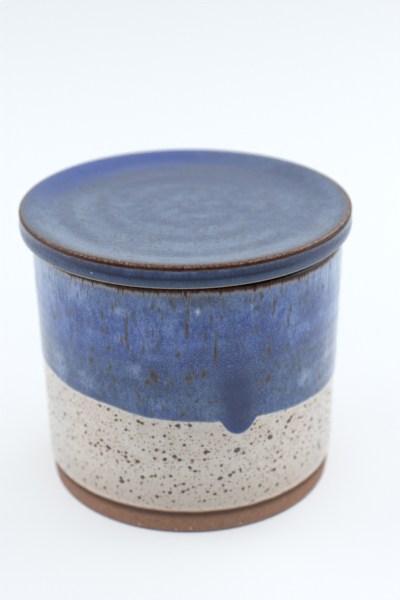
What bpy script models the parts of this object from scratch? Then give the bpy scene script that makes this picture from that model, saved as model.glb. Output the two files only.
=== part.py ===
"""Lidded stoneware jar: a thrown, tapering pot with a bare foot band, and a
flat, gently dished lid whose locating ring drops into the mouth of the pot.

Metres, +Z up, origin at the centre of the underside, on the potter's axis.
Both pieces are turned about +Z, so the lid also turns freely on its seat.
"""

from math import cos, pi, radians, sin

import bmesh
import bpy

SEGMENTS = 96                # facets round each turned piece
SHARP_ANGLE = radians(38)    # edges steeper than this are shaded sharp
MERGE_DISTANCE = 0.00001     # joins the copies of the profile's ends on the axis

# pot, outside
FOOT_RADIUS = 0.05045        # bare foot, just above its rounded bottom corner
FOOT_TOP_RADIUS = 0.05135    # bare clay just under the edge of the glaze
FOOT_EDGE_ROUND = 0.0007     # softened bottom corner of the foot
GLAZE_LINE_Z = 0.0095        # height of the bare foot band
GLAZE_STEP = 0.0004          # glaze coat stands this far proud of the foot
GLAZE_EDGE_HALF = 0.0004     # glaze edge spans this far below and above its line
GLAZE_LIP_INSET = 0.00012    # corner of the glaze edge, in from the full coat
GLAZE_LIP_DROP = 0.0001      # the same corner, below the glaze line
GLAZED_RADIUS = FOOT_TOP_RADIUS + GLAZE_STEP
RIM_OUTER_RADIUS = 0.05360   # outside of the pot at the rim
RIM_Z = 0.09430              # top of the pot's rim
RIM_OUTER_ROUND = 0.0017
RIM_INNER_ROUND = 0.0012

# pot, inside
WALL = 0.0052                # wall thickness, measured radially
MOUTH_RADIUS = RIM_OUTER_RADIUS - WALL
FLOOR_Z = 0.0066             # top of the inside floor
FLOOR_FILLET = 0.0080        # turned corner between the wall and the floor

# pot, underside
RECESS_RADIUS = 0.0420       # shallow recess inside the foot ring
RECESS_DEPTH = 0.0011
RECESS_SLOPE = 0.0014        # radial width of the recess's sloping side

# lid
SEAT_GAP = 0.0003            # clearance between the rim and the lid's seat
SEAT_Z = RIM_Z + SEAT_GAP    # flat of the lid's underside, outside the ring
SEAT_OUTER_RADIUS = 0.0548   # the flat ends here
LID_RADIUS = 0.05700         # lower arris and widest part of the rounded lip
LID_ARRIS_Z = 0.09540        # lower outer corner
LID_WIDEST_Z = 0.10130       # widest part of the rounded lip
LID_TOP_Z = 0.10265          # crest of the lip, overall height of the jar
CREST_RADIUS = 0.05560       # circle along the crest
WAIST_DEPTH = 0.0003         # hollow of the lid's side between arris and lip
DISH_DEPTH = 0.0021          # middle of the lid lies this far below the crest
DISH_SLOPE = 0.0135          # radial width of the dish's sloping border
DISH_POWER = 1.25            # above 1, keeps the slope lower than a plain cosine
UNDERSIDE_LIFT = 0.0006      # underside inside the ring, above the seat plane

# locating ring under the lid
RING_CLEARANCE = 0.0011      # radial play between the ring and the mouth
RING_DEPTH = 0.0112
RING_THICKNESS = 0.0042      # at the root
RING_TAPER = 0.0005          # outer radius shrinks this much towards the end
RING_EDGE_ROUND = 0.0010
RING_OUTER_FILLET = 0.0008   # root of the ring, on the seat side
RING_INNER_FILLET = 0.0015   # root of the ring, on the axis side

# The pot's material slots, and the height that parts its glazes: outer faces
# centred above it are blue, those below it cream.
BLUE, CREAM, CLAY = range(3)
BLUE_LINE_Z = 0.045


# ------------------------------------------------------------------ profiles
def arc(centre_r, centre_z, radius, start_deg, end_deg, steps):
    """Points on a circular arc in the (radius, z) half plane."""
    points = []
    for i in range(steps + 1):
        angle = radians(start_deg + (end_deg - start_deg) * i / steps)
        points.append((centre_r + radius * cos(angle), centre_z + radius * sin(angle)))
    return points


def body_radius(z):
    """Outside radius of the glazed wall: a straight, slightly flared cone."""
    flare = RIM_OUTER_RADIUS - GLAZED_RADIUS
    return GLAZED_RADIUS + flare * (z - GLAZE_LINE_Z) / (RIM_Z - GLAZE_LINE_Z)


def pot_profile():
    """Underside centre, out round the foot, up, over the rim, down inside."""
    points = [
        (0.0, RECESS_DEPTH),
        (RECESS_RADIUS - RECESS_SLOPE, RECESS_DEPTH),
        (RECESS_RADIUS, 0.0),
    ]
    points += arc(FOOT_RADIUS - FOOT_EDGE_ROUND, FOOT_EDGE_ROUND, FOOT_EDGE_ROUND, -90, 0, 3)

    # edge of the glaze
    points += [
        (FOOT_TOP_RADIUS, GLAZE_LINE_Z - GLAZE_EDGE_HALF),
        (GLAZED_RADIUS - GLAZE_LIP_INSET, GLAZE_LINE_Z - GLAZE_LIP_DROP),
        (GLAZED_RADIUS, GLAZE_LINE_Z + GLAZE_EDGE_HALF),
    ]

    # outside wall, in three spans
    for i in (1, 2):
        z = GLAZE_LINE_Z + (RIM_Z - RIM_OUTER_ROUND - GLAZE_LINE_Z) * i / 3
        points.append((body_radius(z), z))

    # rim
    points += arc(RIM_OUTER_RADIUS - RIM_OUTER_ROUND, RIM_Z - RIM_OUTER_ROUND,
                  RIM_OUTER_ROUND, 0, 90, 4)
    inner_top_z = RIM_Z - RIM_INNER_ROUND
    points += arc(MOUTH_RADIUS + RIM_INNER_ROUND, inner_top_z, RIM_INNER_ROUND, 90, 180, 4)

    # inside wall, in two spans, then the corner and the floor
    fillet_top_z = FLOOR_Z + FLOOR_FILLET
    for i in (1, 2):
        z = inner_top_z + (fillet_top_z - inner_top_z) * i / 2
        points.append((body_radius(z) - WALL, z))
    wall_foot_radius = body_radius(fillet_top_z) - WALL
    points += arc(wall_foot_radius - FLOOR_FILLET, fillet_top_z, FLOOR_FILLET, 0, -90, 6)[1:]
    points.append((0.0, FLOOR_Z))
    return points


def ring_profile(underside_z):
    """Locating ring, from its inner root down, across its end and up to the seat."""
    outer = MOUTH_RADIUS - RING_CLEARANCE
    inner = outer - RING_THICKNESS
    end_round_z = SEAT_Z - RING_DEPTH + RING_EDGE_ROUND
    points = [(inner - RING_INNER_FILLET, underside_z)]
    points += arc(inner - RING_INNER_FILLET, underside_z - RING_INNER_FILLET,
                  RING_INNER_FILLET, 90, 0, 2)[1:]
    points += arc(inner + RING_EDGE_ROUND, end_round_z, RING_EDGE_ROUND, 180, 270, 2)
    points += arc(outer - RING_TAPER - RING_EDGE_ROUND, end_round_z, RING_EDGE_ROUND, -90, 0, 2)
    points += arc(outer + RING_OUTER_FILLET, SEAT_Z - RING_OUTER_FILLET,
                  RING_OUTER_FILLET, 180, 90, 2)
    return points


def lid_profile():
    """From the underside centre, down round the ring, out to the lip, back in."""
    underside_z = SEAT_Z + UNDERSIDE_LIFT
    points = [(0.0, underside_z)]
    points += ring_profile(underside_z)
    points.append((SEAT_OUTER_RADIUS, SEAT_Z))

    # slightly hollow side, from the arris to the widest part of the lip
    for i in range(7):
        rise = i / 6
        points.append((LID_RADIUS - WAIST_DEPTH * sin(pi * rise),
                       LID_ARRIS_Z + (LID_WIDEST_Z - LID_ARRIS_Z) * rise))

    # rounded lip: a quarter ellipse from the widest circle to the crest
    for i in range(1, 5):
        angle = radians(90 * i / 4)
        points.append((CREST_RADIUS + (LID_RADIUS - CREST_RADIUS) * cos(angle),
                       LID_WIDEST_Z + (LID_TOP_Z - LID_WIDEST_Z) * sin(angle)))

    # dish: a smooth fall from the crest to the flat middle
    dish_z = LID_TOP_Z - DISH_DEPTH
    for i in range(1, 6):
        height = (0.5 - 0.5 * cos(pi * (1 - i / 5))) ** DISH_POWER
        points.append((CREST_RADIUS - DISH_SLOPE * i / 5, dish_z + DISH_DEPTH * height))
    points.append((0.0, dish_z))
    return points


# -------------------------------------------------------- turning and glazing
def turned(name, profile, origin_z, parent):
    """Spin a (radius, z) profile round +Z into one closed, outward-facing body."""
    bm = bmesh.new()
    verts = [bm.verts.new((radius, 0.0, z - origin_z)) for radius, z in profile]
    edges = [bm.edges.new(pair) for pair in zip(verts, verts[1:])]
    bmesh.ops.spin(bm, geom=verts + edges, cent=(0, 0, 0), axis=(0, 0, 1),
                   angle=2 * pi, steps=SEGMENTS, use_merge=True, use_duplicate=False)
    bmesh.ops.remove_doubles(bm, verts=bm.verts, dist=MERGE_DISTANCE)
    # make the faces agree, then turn them all outward if they agree on inward
    bmesh.ops.recalc_face_normals(bm, faces=bm.faces)
    if bm.calc_volume(signed=True) < 0:
        bmesh.ops.reverse_faces(bm, faces=bm.faces)

    mesh = bpy.data.meshes.new(name)
    bm.to_mesh(mesh)
    bm.free()
    mesh.shade_smooth()
    mesh.set_sharp_from_angle(angle=SHARP_ANGLE)

    obj = bpy.data.objects.new(name, mesh)
    obj.location = (0, 0, origin_z)
    obj.parent = parent
    bpy.context.scene.collection.objects.link(obj)
    return obj


def surface(name, color, roughness):
    material = bpy.data.materials.new(name)
    material.use_nodes = True
    inputs = material.node_tree.nodes["Principled BSDF"].inputs
    inputs["Base Color"].default_value = (*color, 1.0)
    inputs["Roughness"].default_value = roughness
    return material


def paint_pot(mesh):
    """Bare foot and underside, cream inside and low on the wall, blue above."""
    for face in mesh.polygons:
        x, y, z = face.center
        faces_out = face.normal.x * x + face.normal.y * y > 0
        outside = x * x + y * y > RECESS_RADIUS ** 2 and faces_out
        if z < GLAZE_LINE_Z and (outside or face.normal.z < -0.5):
            face.material_index = CLAY
        elif z < BLUE_LINE_Z or not outside:
            face.material_index = CREAM
        else:
            face.material_index = BLUE


# --------------------------------------------------------------------- build
def build_pot(parent):
    pot = turned("pot", pot_profile(), origin_z=0.0, parent=parent)
    for material in (    # in the order of the slots BLUE, CREAM, CLAY
        surface("blue_glaze", color=(0.090, 0.138, 0.305), roughness=0.24),
        surface("speckled_cream_glaze", color=(0.430, 0.405, 0.360), roughness=0.38),
        surface("bare_stoneware", color=(0.225, 0.130, 0.092), roughness=0.80),
    ):
        pot.data.materials.append(material)
    paint_pot(pot.data)


def build_lid(parent):
    lid = turned("lid", lid_profile(), origin_z=SEAT_Z, parent=parent)
    lid.data.materials.append(
        surface("lid_glaze", color=(0.118, 0.170, 0.300), roughness=0.30))


for old in list(bpy.data.objects):
    bpy.data.objects.remove(old)

jar = bpy.data.objects.new("jar", None)      # the whole jar hangs on this empty
jar.empty_display_size = 0.02
bpy.context.scene.collection.objects.link(jar)

build_pot(jar)
build_lid(jar)
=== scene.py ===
"""Looks for a lidded stoneware jar: turned skins for the clay and each coat of glaze, procedural
glazes, a pale studio floor, lights and a camera.

The jar stands on z = 0 and is turned about the z axis. Its front faces -y. Angles round it
(theta) start at the front and grow towards +x, the right as seen from the front. Shapes and
shader patterns are in millimetres, and Blender objects in metres."""
import math

import bpy
import numpy as np
from mathutils import Matrix, Vector


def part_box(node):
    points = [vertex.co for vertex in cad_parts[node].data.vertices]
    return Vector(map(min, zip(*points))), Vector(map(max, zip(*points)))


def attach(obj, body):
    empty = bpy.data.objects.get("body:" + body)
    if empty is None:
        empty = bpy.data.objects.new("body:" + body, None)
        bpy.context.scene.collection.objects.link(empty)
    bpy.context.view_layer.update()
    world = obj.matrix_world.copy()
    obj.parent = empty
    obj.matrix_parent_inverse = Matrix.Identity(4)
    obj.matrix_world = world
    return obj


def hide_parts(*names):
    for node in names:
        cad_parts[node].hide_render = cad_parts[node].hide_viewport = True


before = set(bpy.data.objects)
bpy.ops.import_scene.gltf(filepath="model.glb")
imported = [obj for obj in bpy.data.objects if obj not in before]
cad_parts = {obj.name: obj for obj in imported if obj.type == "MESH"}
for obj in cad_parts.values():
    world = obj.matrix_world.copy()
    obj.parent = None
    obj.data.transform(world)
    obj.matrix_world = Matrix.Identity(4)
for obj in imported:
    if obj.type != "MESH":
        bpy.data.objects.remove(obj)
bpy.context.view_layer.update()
pot_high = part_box("pot")[1]
lid_low, lid_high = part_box("lid")

MM = 0.001
TAU = 2 * math.pi

# ------------------------------------------------------------------ pot sizes (mm)
RIM_Z = pot_high.z / MM
RIM_R = pot_high.x / MM               # outside of the pot under the rim
FOOT_R = 50.45                        # bottom of the bare foot band
FOOT_TOP_R = 51.35
FOOT_ROUND = 0.7                      # radius of the foot's bottom edge
GLAZE_Z = 9.5                         # top of the bare foot band
COAT = 0.40                           # thickness of the cream coat
BLUE_COAT = 0.26
WALL = 5.2
MOUTH_R = RIM_R - WALL
FLOOR_Z = 6.6
FILLET = 8.0                          # between the floor and the inside wall
RIM_OUT_ROUND, RIM_IN_ROUND = 1.7, 1.2
CROWN_OUT_R = RIM_R - RIM_OUT_ROUND   # flat top of the rim
CROWN_IN_R = MOUTH_R + RIM_IN_ROUND
LEAN, LEAN_TOP_Z = 0.22, 94.0         # sideways shift of the foot, gone at this height
THROW_PITCH = 8.2                     # spacing of the finger rings on the wall

# ------------------------------------------------------------------ lid sizes (mm)
LID_R = lid_high.x / MM
TOP_Z = lid_high.z / MM               # crest of the lip
RING_END_Z = lid_low.z / MM           # lower end of the locating ring
SEAT_Z = RIM_Z + 0.3
UNDER_Z = SEAT_Z + 0.6                # underside within the ring
ARRIS_Z = SEAT_Z + 0.8                # sharp lower edge of the side
ARRIS_R = LID_R - 0.18
WIDEST_Z = SEAT_Z + 6.7
CREST_R = LID_R - 1.4
RING_OUT = MOUTH_R - 1.1
RING_IN = RING_OUT - 4.2
RING_TAPER = 0.5                      # the ring narrows by this towards its end
SEAT_FLAT_R = 54.6                    # the seat slopes to the arris from here
DISH = 2.1                            # depth of the dished top
DISH_SLOPE = 13.5                     # width of the slope up to the crest
DISH_PITCH = 13.2                     # spacing of the top's finger rings
LID_SHIFT_X = -0.55                   # the lid sits off centre on its seat

# ------------------------------------------------------- measured glaze features
# Blue dip line round the pot: (degrees, z mm).
DIP = [
    (-180, 43.6), (-150, 42.0), (-120, 43.4), (-100, 46.0), (-82, 48.2), (-65, 48.9), (-50, 48.4),
    (-36, 48.1), (-27, 47.6), (-20, 46.6), (-14, 46.0), (-6, 45.6), (3, 45.1), (9, 44.8),
    (30, 43.9), (41, 43.0), (50, 42.5), (58, 41.8), (68, 41.2), (82, 40.2), (100, 40.6),
    (118, 43.0), (135, 45.2), (158, 45.0), (180, 43.6)]
# Runs of glaze below that line: (degrees, half width in degrees, drop mm).
RUNS = [(17.7, 6.8, 5.4), (-109, 5.2, 3.4), (-141, 7.2, 6.2), (128, 6.4, 4.6), (163, 4.0, 2.0),
        (96, 3.4, 1.2)]
THICK_RUNS = [run for run in RUNS if run[2] >= 2]
# Dark iron specks on the cream: (degrees, z mm, radius mm).
SPECKS = [
    (-32.0, 31.1, 0.95), (-34.9, 33.1, 0.6), (-26.9, 18.9, 0.85), (10.5, 22.6, 0.9),
    (-20.2, 28.4, 0.8), (-5.7, 31.9, 0.8), (33.1, 20.9, 0.75), (14.7, 23.4, 0.75),
    (-18.1, 22.4, 0.75), (-9.7, 30.5, 0.7), (-8.2, 17.4, 0.7), (51.9, 30.6, 0.7),
    (16.8, 32.8, 1.05), (43.5, 21.8, 0.65), (-24.6, 29.2, 0.65), (8.8, 16.6, 0.6),
    (-3.1, 18.0, 0.65), (-13.0, 15.4, 0.7), (30.3, 34.7, 1.0), (39.4, 38.2, 0.85),
    (40.5, 39.4, 0.6), (-4.3, 44.0, 0.8), (-0.4, 44.2, 0.75), (5.7, 33.7, 0.7),
    (1.5, 26.2, 0.6), (-40.7, 30.0, 0.6), (26.7, 16.5, 0.6), (19.7, 31.2, 0.55),
    (-18.8, 44.2, 0.7), (-7.7, 24.1, 0.6), (35.7, 25.1, 0.55), (6.0, 17.7, 0.55),
    (-51.0, 28.1, 0.6), (-2.8, 21.1, 0.55), (0.6, 30.5, 0.55), (30.2, 13.6, 0.5),
    (39.0, 15.3, 0.5), (-36.6, 31.4, 0.55), (4.7, 14.0, 0.55), (-23.0, 15.9, 0.55),
    (23.6, 41.6, 0.5), (46.6, 36.9, 0.5), (-28.0, 44.7, 0.5), (-13.6, 38.9, 0.5),
    (10.9, 27.7, 0.55)]
# Olive-brown marks in the blue: (degrees, z mm, half width mm, half height mm, darkness).
MARKS = [
    (9.0, 71.2, 0.95, 6.0, 1.0), (-0.9, 80.8, 0.95, 5.2, 1.0), (-12.6, 62.6, 1.8, 2.6, 0.9),
    (-15.2, 59.6, 1.5, 1.2, 0.9), (-11.4, 60.2, 1.2, 1.0, 0.9), (28.8, 58.2, 1.25, 2.7, 1.0),
    (-21.8, 76.0, 0.85, 3.6, 0.8), (-27.6, 58.2, 0.9, 2.6, 0.9), (-28.8, 62.8, 1.0, 1.5, 0.9),
    (28.8, 68.5, 1.15, 2.4, 0.95), (36.9, 77.2, 0.85, 3.0, 0.8), (4.6, 63.6, 1.2, 2.0, 1.0),
    (-30.7, 76.2, 0.8, 1.8, 0.7), (-30.9, 81.5, 0.8, 2.6, 0.9), (30.6, 84.6, 0.75, 3.2, 0.9),
    (-1.3, 62.2, 0.95, 1.5, 1.0), (-37.0, 64.0, 1.0, 2.0, 0.7), (36.8, 68.4, 1.0, 1.8, 0.7),
    (-15.8, 72.4, 0.7, 3.0, 0.7), (26.2, 57.2, 0.8, 2.1, 0.8), (-6.2, 60.2, 0.9, 1.5, 0.9),
    (42.6, 60.4, 0.8, 2.2, 0.9), (45.0, 61.6, 0.7, 1.5, 0.8), (40.2, 60.0, 0.8, 1.8, 0.8),
    (48.6, 62.6, 0.7, 1.6, 0.7), (-2.7, 48.3, 1.2, 1.3, 1.0), (2.7, 53.6, 0.9, 1.3, 0.9),
    (9.4, 53.0, 0.9, 1.2, 0.9), (47.2, 46.6, 0.8, 1.6, 0.9), (10.8, 83.4, 0.7, 2.0, 0.8),
    (26.3, 83.4, 0.65, 2.8, 0.8), (25.0, 88.3, 0.6, 2.2, 1.0), (-4.8, 87.6, 0.55, 2.2, 0.9),
    (-8.8, 83.8, 0.6, 1.9, 0.7), (23.8, 77.6, 0.6, 2.2, 0.8), (-18.3, 82.0, 0.6, 2.8, 0.7),
    (46.4, 84.3, 0.6, 1.9, 0.8), (45.5, 63.2, 0.8, 1.4, 0.7), (37.1, 55.2, 0.8, 1.2, 0.8),
    (22.8, 84.8, 0.7, 0.9, 1.0), (4.0, 88.5, 0.6, 1.9, 0.9), (57.2, 48.5, 1.2, 2.0, 0.9),
    (55.9, 43.6, 1.0, 1.6, 1.0), (-36.3, 68.0, 0.8, 1.5, 0.7), (33.6, 89.2, 0.6, 1.8, 1.0),
    (20.0, 88.0, 0.7, 1.8, 0.9), (14.0, 86.0, 0.5, 1.5, 0.7), (-24.0, 87.5, 0.5, 1.6, 0.8)]
MARK_WIDTH, MARK_HEIGHT = 0.74, 0.92  # scale of the marks above
# Scattered marks: (seed, count, lowest z, highest z, degrees from the front kept sparse,
# half width mm, (least, most) height over width).
SCATTERED_MARKS = [
    (41, 170, 70, 91.5, 62, 0.50, (2.0, 5.6)), (44, 200, 45, 73, 0, 0.38, (0.9, 2.2)),
    (45, 130, 72, 92, 0, 0.28, (3.0, 8.0)), (42, 230, 44, 71, 62, 0.60, (1.0, 2.6))]
# Patches in the blue: (degrees, z mm, half width mm, half height mm, strength).
# Pale: the glaze lies thick and milky.
PALE = [
    (3.0, 85.9, 1.0, 1.7, 1.12), (-19.4, 63.6, 3.2, 3.4, 0.75), (-15.0, 76.0, 6.0, 7.0, 0.55),
    (22.0, 85.0, 2.2, 4.0, 0.5), (51.0, 89.0, 1.2, 3.2, 0.45), (57.0, 89.0, 1.0, 4.0, 0.5),
    (-25.0, 85.0, 4.0, 4.5, 0.55), (-42.0, 86.5, 7.0, 5.0, 0.80), (24.0, 69.0, 3.0, 4.0, 0.25),
    (4.0, 76.0, 2.4, 6.0, 0.3), (-56.0, 55.0, 6.0, 8.0, 0.75), (-41.0, 55.0, 5.0, 7.0, 0.60),
    (-24.0, 74.5, 4.5, 3.0, 0.66), (-24.0, 84.0, 4.5, 3.0, 0.72), (-57.0, 82.0, 4.0, 9.0, 0.45),
    (-10.5, 87.5, 5.0, 4.0, 0.45), (-11.0, 51.0, 6.0, 5.0, 0.45), (31.0, 50.0, 4.0, 4.0, 0.40),
    (47.0, 52.5, 5.0, 5.0, 0.74), (-24.0, 57.5, 4.0, 3.0, 0.36), (62.0, 57.0, 5.0, 8.0, 0.65)]
# Ranges of the first four columns for more pale patches away from the front.
PALE_RANGES = ((70, 290), (58, 90), (1.5, 5), (2, 6))
DEEP = [
    (15.5, 67.0, 6.5, 11.0, 0.92), (30.0, 71.0, 5.5, 7.5, 0.65), (46.5, 80.0, 6.0, 6.0, 0.95),
    (-10.5, 71.5, 4.0, 3.0, 0.60), (-11.0, 63.8, 4.5, 3.0, 1.00), (1.0, 68.0, 5.0, 7.0, 0.50),
    (46.0, 66.0, 4.0, 4.0, 0.50), (-19.5, 68.0, 3.0, 3.0, 0.40)]
COBALT = [
    (-21.0, 77.0, 9.0, 6.0, 0.8), (1.0, 76.0, 6.0, 4.5, 0.8), (4.0, 66.0, 8.0, 6.0, 0.55),
    (-24.0, 69.5, 5.0, 3.5, 0.80), (-10.5, 76.0, 4.0, 4.0, 0.55), (-11.0, 48.5, 6.0, 3.0, 0.60),
    (30.0, 48.5, 4.0, 3.0, 0.60), (15.5, 66.0, 5.0, 6.0, 0.60), (30.0, 84.0, 5.0, 3.0, 0.5),
    (150.0, 74.0, 12.0, 5.0, 0.8), (-120.0, 78.0, 14.0, 4.0, 0.8)]
CREAM_MAP_R, BLUE_MAP_R = 52.0, 53.0  # wall radii that turn degrees into millimetres


# ------------------------------------------------------------- surface irregularity
def wave_noise(seed, terms, most_turns, wave_height):
    """A smooth random function of (theta, z mm), about -1 to 1, periodic in theta."""
    rng = np.random.default_rng(seed)
    turns = rng.integers(0, most_turns + 1, terms)
    rates = rng.normal(0, TAU / wave_height, terms)
    sizes = rng.uniform(0.4, 1.0, terms)
    phases = rng.uniform(0, TAU, terms)
    sizes = sizes / math.sqrt(float((sizes ** 2).sum()) / 2)

    def noise(theta, z):
        theta, z = np.broadcast_arrays(np.asarray(theta, float), np.asarray(z, float))
        total = np.zeros(theta.shape)
        for turn, rate, size, phase in zip(turns, rates, sizes, phases):
            total += size * np.sin(turn * theta + rate * z + phase)
        return total * 0.5
    return noise


LEVEL = 1e9                           # wave height that leaves no change with z
warp = wave_noise(3, 9, 3, 160)
dents = wave_noise(5, 16, 9, 30)
pull = wave_noise(7, 14, 2, 9)
edge_jitter = wave_noise(11, 40, 90, LEVEL)
cream_fray = wave_noise(13, 26, 40, LEVEL)
cream_drift = wave_noise(14, 5, 4, LEVEL)
mark_bend = wave_noise(21, 12, 30, 5.0)
lid_swirl = wave_noise(51, 10, 3, 60)
under_edge = wave_noise(71, 10, 8, LEVEL)


def ripple(distance, pitch, theta=0.0):
    """Even grooves along a distance; with theta they form a spiral."""
    return np.sin(TAU * distance / pitch + theta)


def body_r(z):
    """Plain tapered wall, outside the cream coat."""
    low = FOOT_TOP_R + COAT
    return low + (RIM_R - low) * (np.asarray(z, float) - GLAZE_Z) / (RIM_Z - GLAZE_Z)


def throwing(theta, z):
    """Finger rings left by throwing: a shallow spiral of uneven grooves."""
    spiral = z + theta / TAU * THROW_PITCH
    main = 0.050 * np.sin(TAU * spiral / THROW_PITCH + 1.1) * (0.6 + 0.4 * np.sin(z / 17.0))
    half = 0.028 * np.sin(TAU * spiral / (THROW_PITCH / 2) + 2.6 * np.sin(z / 23.0))
    fine = 0.005 * np.sin(TAU * z / 1.55 + 0.8 * np.sin(theta * 2))
    return main + half + fine * (0.5 + 0.5 * np.sin(z / 5.3 + 2 * theta)) + 0.020 * pull(theta, z)


def wall_r(theta, z):
    return body_r(z) + throwing(theta, z) + 0.09 * warp(theta, z) + 0.05 * dents(theta, z)


def rim_dip(theta):
    """How far the rim dips: most at the front right."""
    return 0.95 * (0.5 + 0.5 * np.cos(np.asarray(theta) - math.radians(56))) ** 2


def lean(z):
    """The foot sits a little to the right of the rim."""
    return LEAN * (1 - np.clip(z, 0, LEAN_TOP_Z) / LEAN_TOP_Z)


def lid_shift(z):
    return LID_SHIFT_X


FILLET_Z = FLOOR_Z + FILLET
FILLET_R = float(body_r(FILLET_Z)) - WALL - FILLET


def arc(centre_r, centre_z, radius, start, end, steps):
    """Profile points (r, z) along an arc between two angles in degrees."""
    angles = np.radians(np.linspace(start, end, steps + 1))
    return [(centre_r + radius * math.cos(a), centre_z + radius * math.sin(a)) for a in angles]


# ------------------------------------------------------------------- turned skins
class Skin:
    """Rings of points joined into quads, ending in poles or closed as a loop. Each group of
    rings has its own place on the surface map: a disc, or a band cut into strips."""

    GAP = 0.004                       # between strips on the map

    def __init__(self, name, sides):
        self.name, self.sides = name, sides
        self.theta = np.arange(sides) / sides * TAU
        self.radii, self.heights, self.groups = [], [], []
        self.bands, self.discs = {}, {}

    def band(self, group, rect, strips=1):
        """rect is (left, bottom, right, top) on the map."""
        self.bands[group] = (rect, strips)

    def disc(self, group, rect, reach):
        """A disc whose rect spans the radius 'reach'."""
        self.discs[group] = (rect, reach)

    def ring(self, radius, z, group):
        self.radii.append(np.broadcast_to(np.asarray(radius, float), (self.sides,)))
        self.heights.append(np.broadcast_to(np.asarray(z, float), (self.sides,)))
        self.groups.append(group)

    def rings(self, points, group):
        for radius, z in points:
            self.ring(radius, z, group)

    def disc_corners(self, row, after, rect, reach):
        left, bottom, right, top = rect

        def corner(ring, column):
            radius = self.radii[ring][column % self.sides] * (0.5 / reach)
            angle = column / self.sides * TAU
            across = (left + right) / 2 + radius * np.sin(angle) * (right - left)
            return np.stack([across, (bottom + top) / 2 - radius * np.cos(angle) * (top - bottom)], 1)

        here = np.arange(self.sides)
        return [corner(row, here), corner(row, here + 1), corner(after, here + 1),
                corner(after, here)]

    def band_corners(self, start, end, rect, strips):
        """start and end are shares of the band's own length."""
        left, bottom, right, top = rect
        here = np.arange(self.sides)
        per_strip = self.sides // strips
        strip = np.minimum(here // per_strip, strips - 1)
        offset = here - strip * per_strip
        tall = (top - bottom) / strips
        floor = bottom + strip * tall + self.GAP / 2
        low, high = floor + (tall - self.GAP) * start, floor + (tall - self.GAP) * end
        near = left + (right - left) * (offset / per_strip)
        far = left + (right - left) * ((offset + 1) / per_strip)
        return [np.stack(pair, 1) for pair in ((near, low), (far, low), (far, high), (near, high))]

    def build(self, shift, loop=False):
        """Makes the object. shift(z) moves the points along x."""
        radii, heights = np.array(self.radii), np.array(self.heights)
        count, sides = radii.shape
        start_pole = not loop and radii[0].max() < 1e-9
        end_pole = not loop and radii[-1].max() < 1e-9
        first, last = int(start_pole), count - int(end_pole)
        self.rows, self.poles = slice(first, last), (start_pole, end_pole)
        points = np.stack([radii * np.sin(self.theta), -radii * np.cos(self.theta), heights], 2)
        poles = [(0, 0, heights[row].mean()) for row, used in ((0, start_pole), (-1, end_pole))
                 if used]
        points = np.vstack([points[self.rows].reshape(-1, 3), *poles])
        points[:, 0] += shift(points[:, 2])
        start_index = (last - first) * sides
        end_index = start_index + int(start_pole)

        # distance along the profile within each group
        mean_r, mean_z = radii.mean(1), heights.mean(1)
        step = np.hypot(np.diff(mean_r, append=mean_r[0]), np.diff(mean_z, append=mean_z[0]))
        pairs = [(row, row + 1) for row in range(count - 1)] + ([(count - 1, 0)] if loop else [])
        length, start = {}, {}
        for row, _ in pairs:
            start[row] = length.get(self.groups[row], 0.0)
            length[self.groups[row]] = start[row] + step[row]

        here = np.arange(sides)
        following = (here + 1) % sides
        faces, corners = [], []
        for row, after in pairs:
            group = self.groups[row]
            if group in self.discs:
                places = self.disc_corners(row, after, *self.discs[group])
            else:
                total = length[group]
                places = self.band_corners(start[row] / total, (start[row] + step[row]) / total,
                                           *self.bands[group])
            low, high = (row - first) * sides, (after - first) * sides
            quad = [low + here, low + following, high + following, high + here]
            keep = [0, 1, 2, 3]
            if row == 0 and start_pole:
                quad[0] = np.full(sides, start_index)
                keep = [0, 2, 3]
            elif after == count - 1 and end_pole:
                quad[3] = np.full(sides, end_index)
                keep = [0, 1, 3]
            faces.append(np.stack(quad, 1)[:, keep])
            corners.append(np.stack(places, 1)[:, keep])

        # a negative volume means that the faces point inwards
        volume = 0.0
        for block in faces:
            for second in range(1, block.shape[1] - 1):
                a, b, c = (points[block[:, corner]] for corner in (0, second, second + 1))
                volume += float(np.einsum("ij,ij->i", a, np.cross(b, c)).sum())
        if volume < 0:
            faces = [block[:, ::-1] for block in faces]
            corners = [block[:, ::-1] for block in corners]

        mesh = bpy.data.meshes.new(self.name)
        mesh.from_pydata((points * MM).tolist(), [], [f for block in faces for f in block.tolist()])
        surface_map = np.concatenate([block.reshape(-1, 2) for block in corners])
        layer = mesh.uv_layers.new(name="OFBake")
        layer.data.foreach_set("uv", np.clip(surface_map, 0, 1).astype(np.float32).ravel())
        mesh.validate()
        mesh.shade_smooth()
        self.piece = bpy.data.objects.new(self.name, mesh)
        bpy.context.scene.collection.objects.link(self.piece)
        return self.piece

    def grid(self):
        """theta (-pi to pi) and z of the rings between the poles."""
        heights = np.array(self.heights)[self.rows]
        return np.broadcast_to((self.theta + math.pi) % TAU - math.pi, heights.shape), heights

    def attribute(self, name, values):
        """Stores values for the grid; a pole takes the mean of the ring beside it."""
        values = np.broadcast_to(values, self.grid()[1].shape)
        flat = [values.ravel()]
        flat += [[values[row].mean()] for row, used in zip((0, -1), self.poles) if used]
        layer = self.piece.data.attributes.new(name, "FLOAT", "POINT")
        layer.data.foreach_set("value", np.concatenate(flat).astype(np.float32))


# ------------------------------------------------------------- glaze lines and marks
def turn_diff(a, b):
    return (a - b + 180) % 360 - 180


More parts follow.
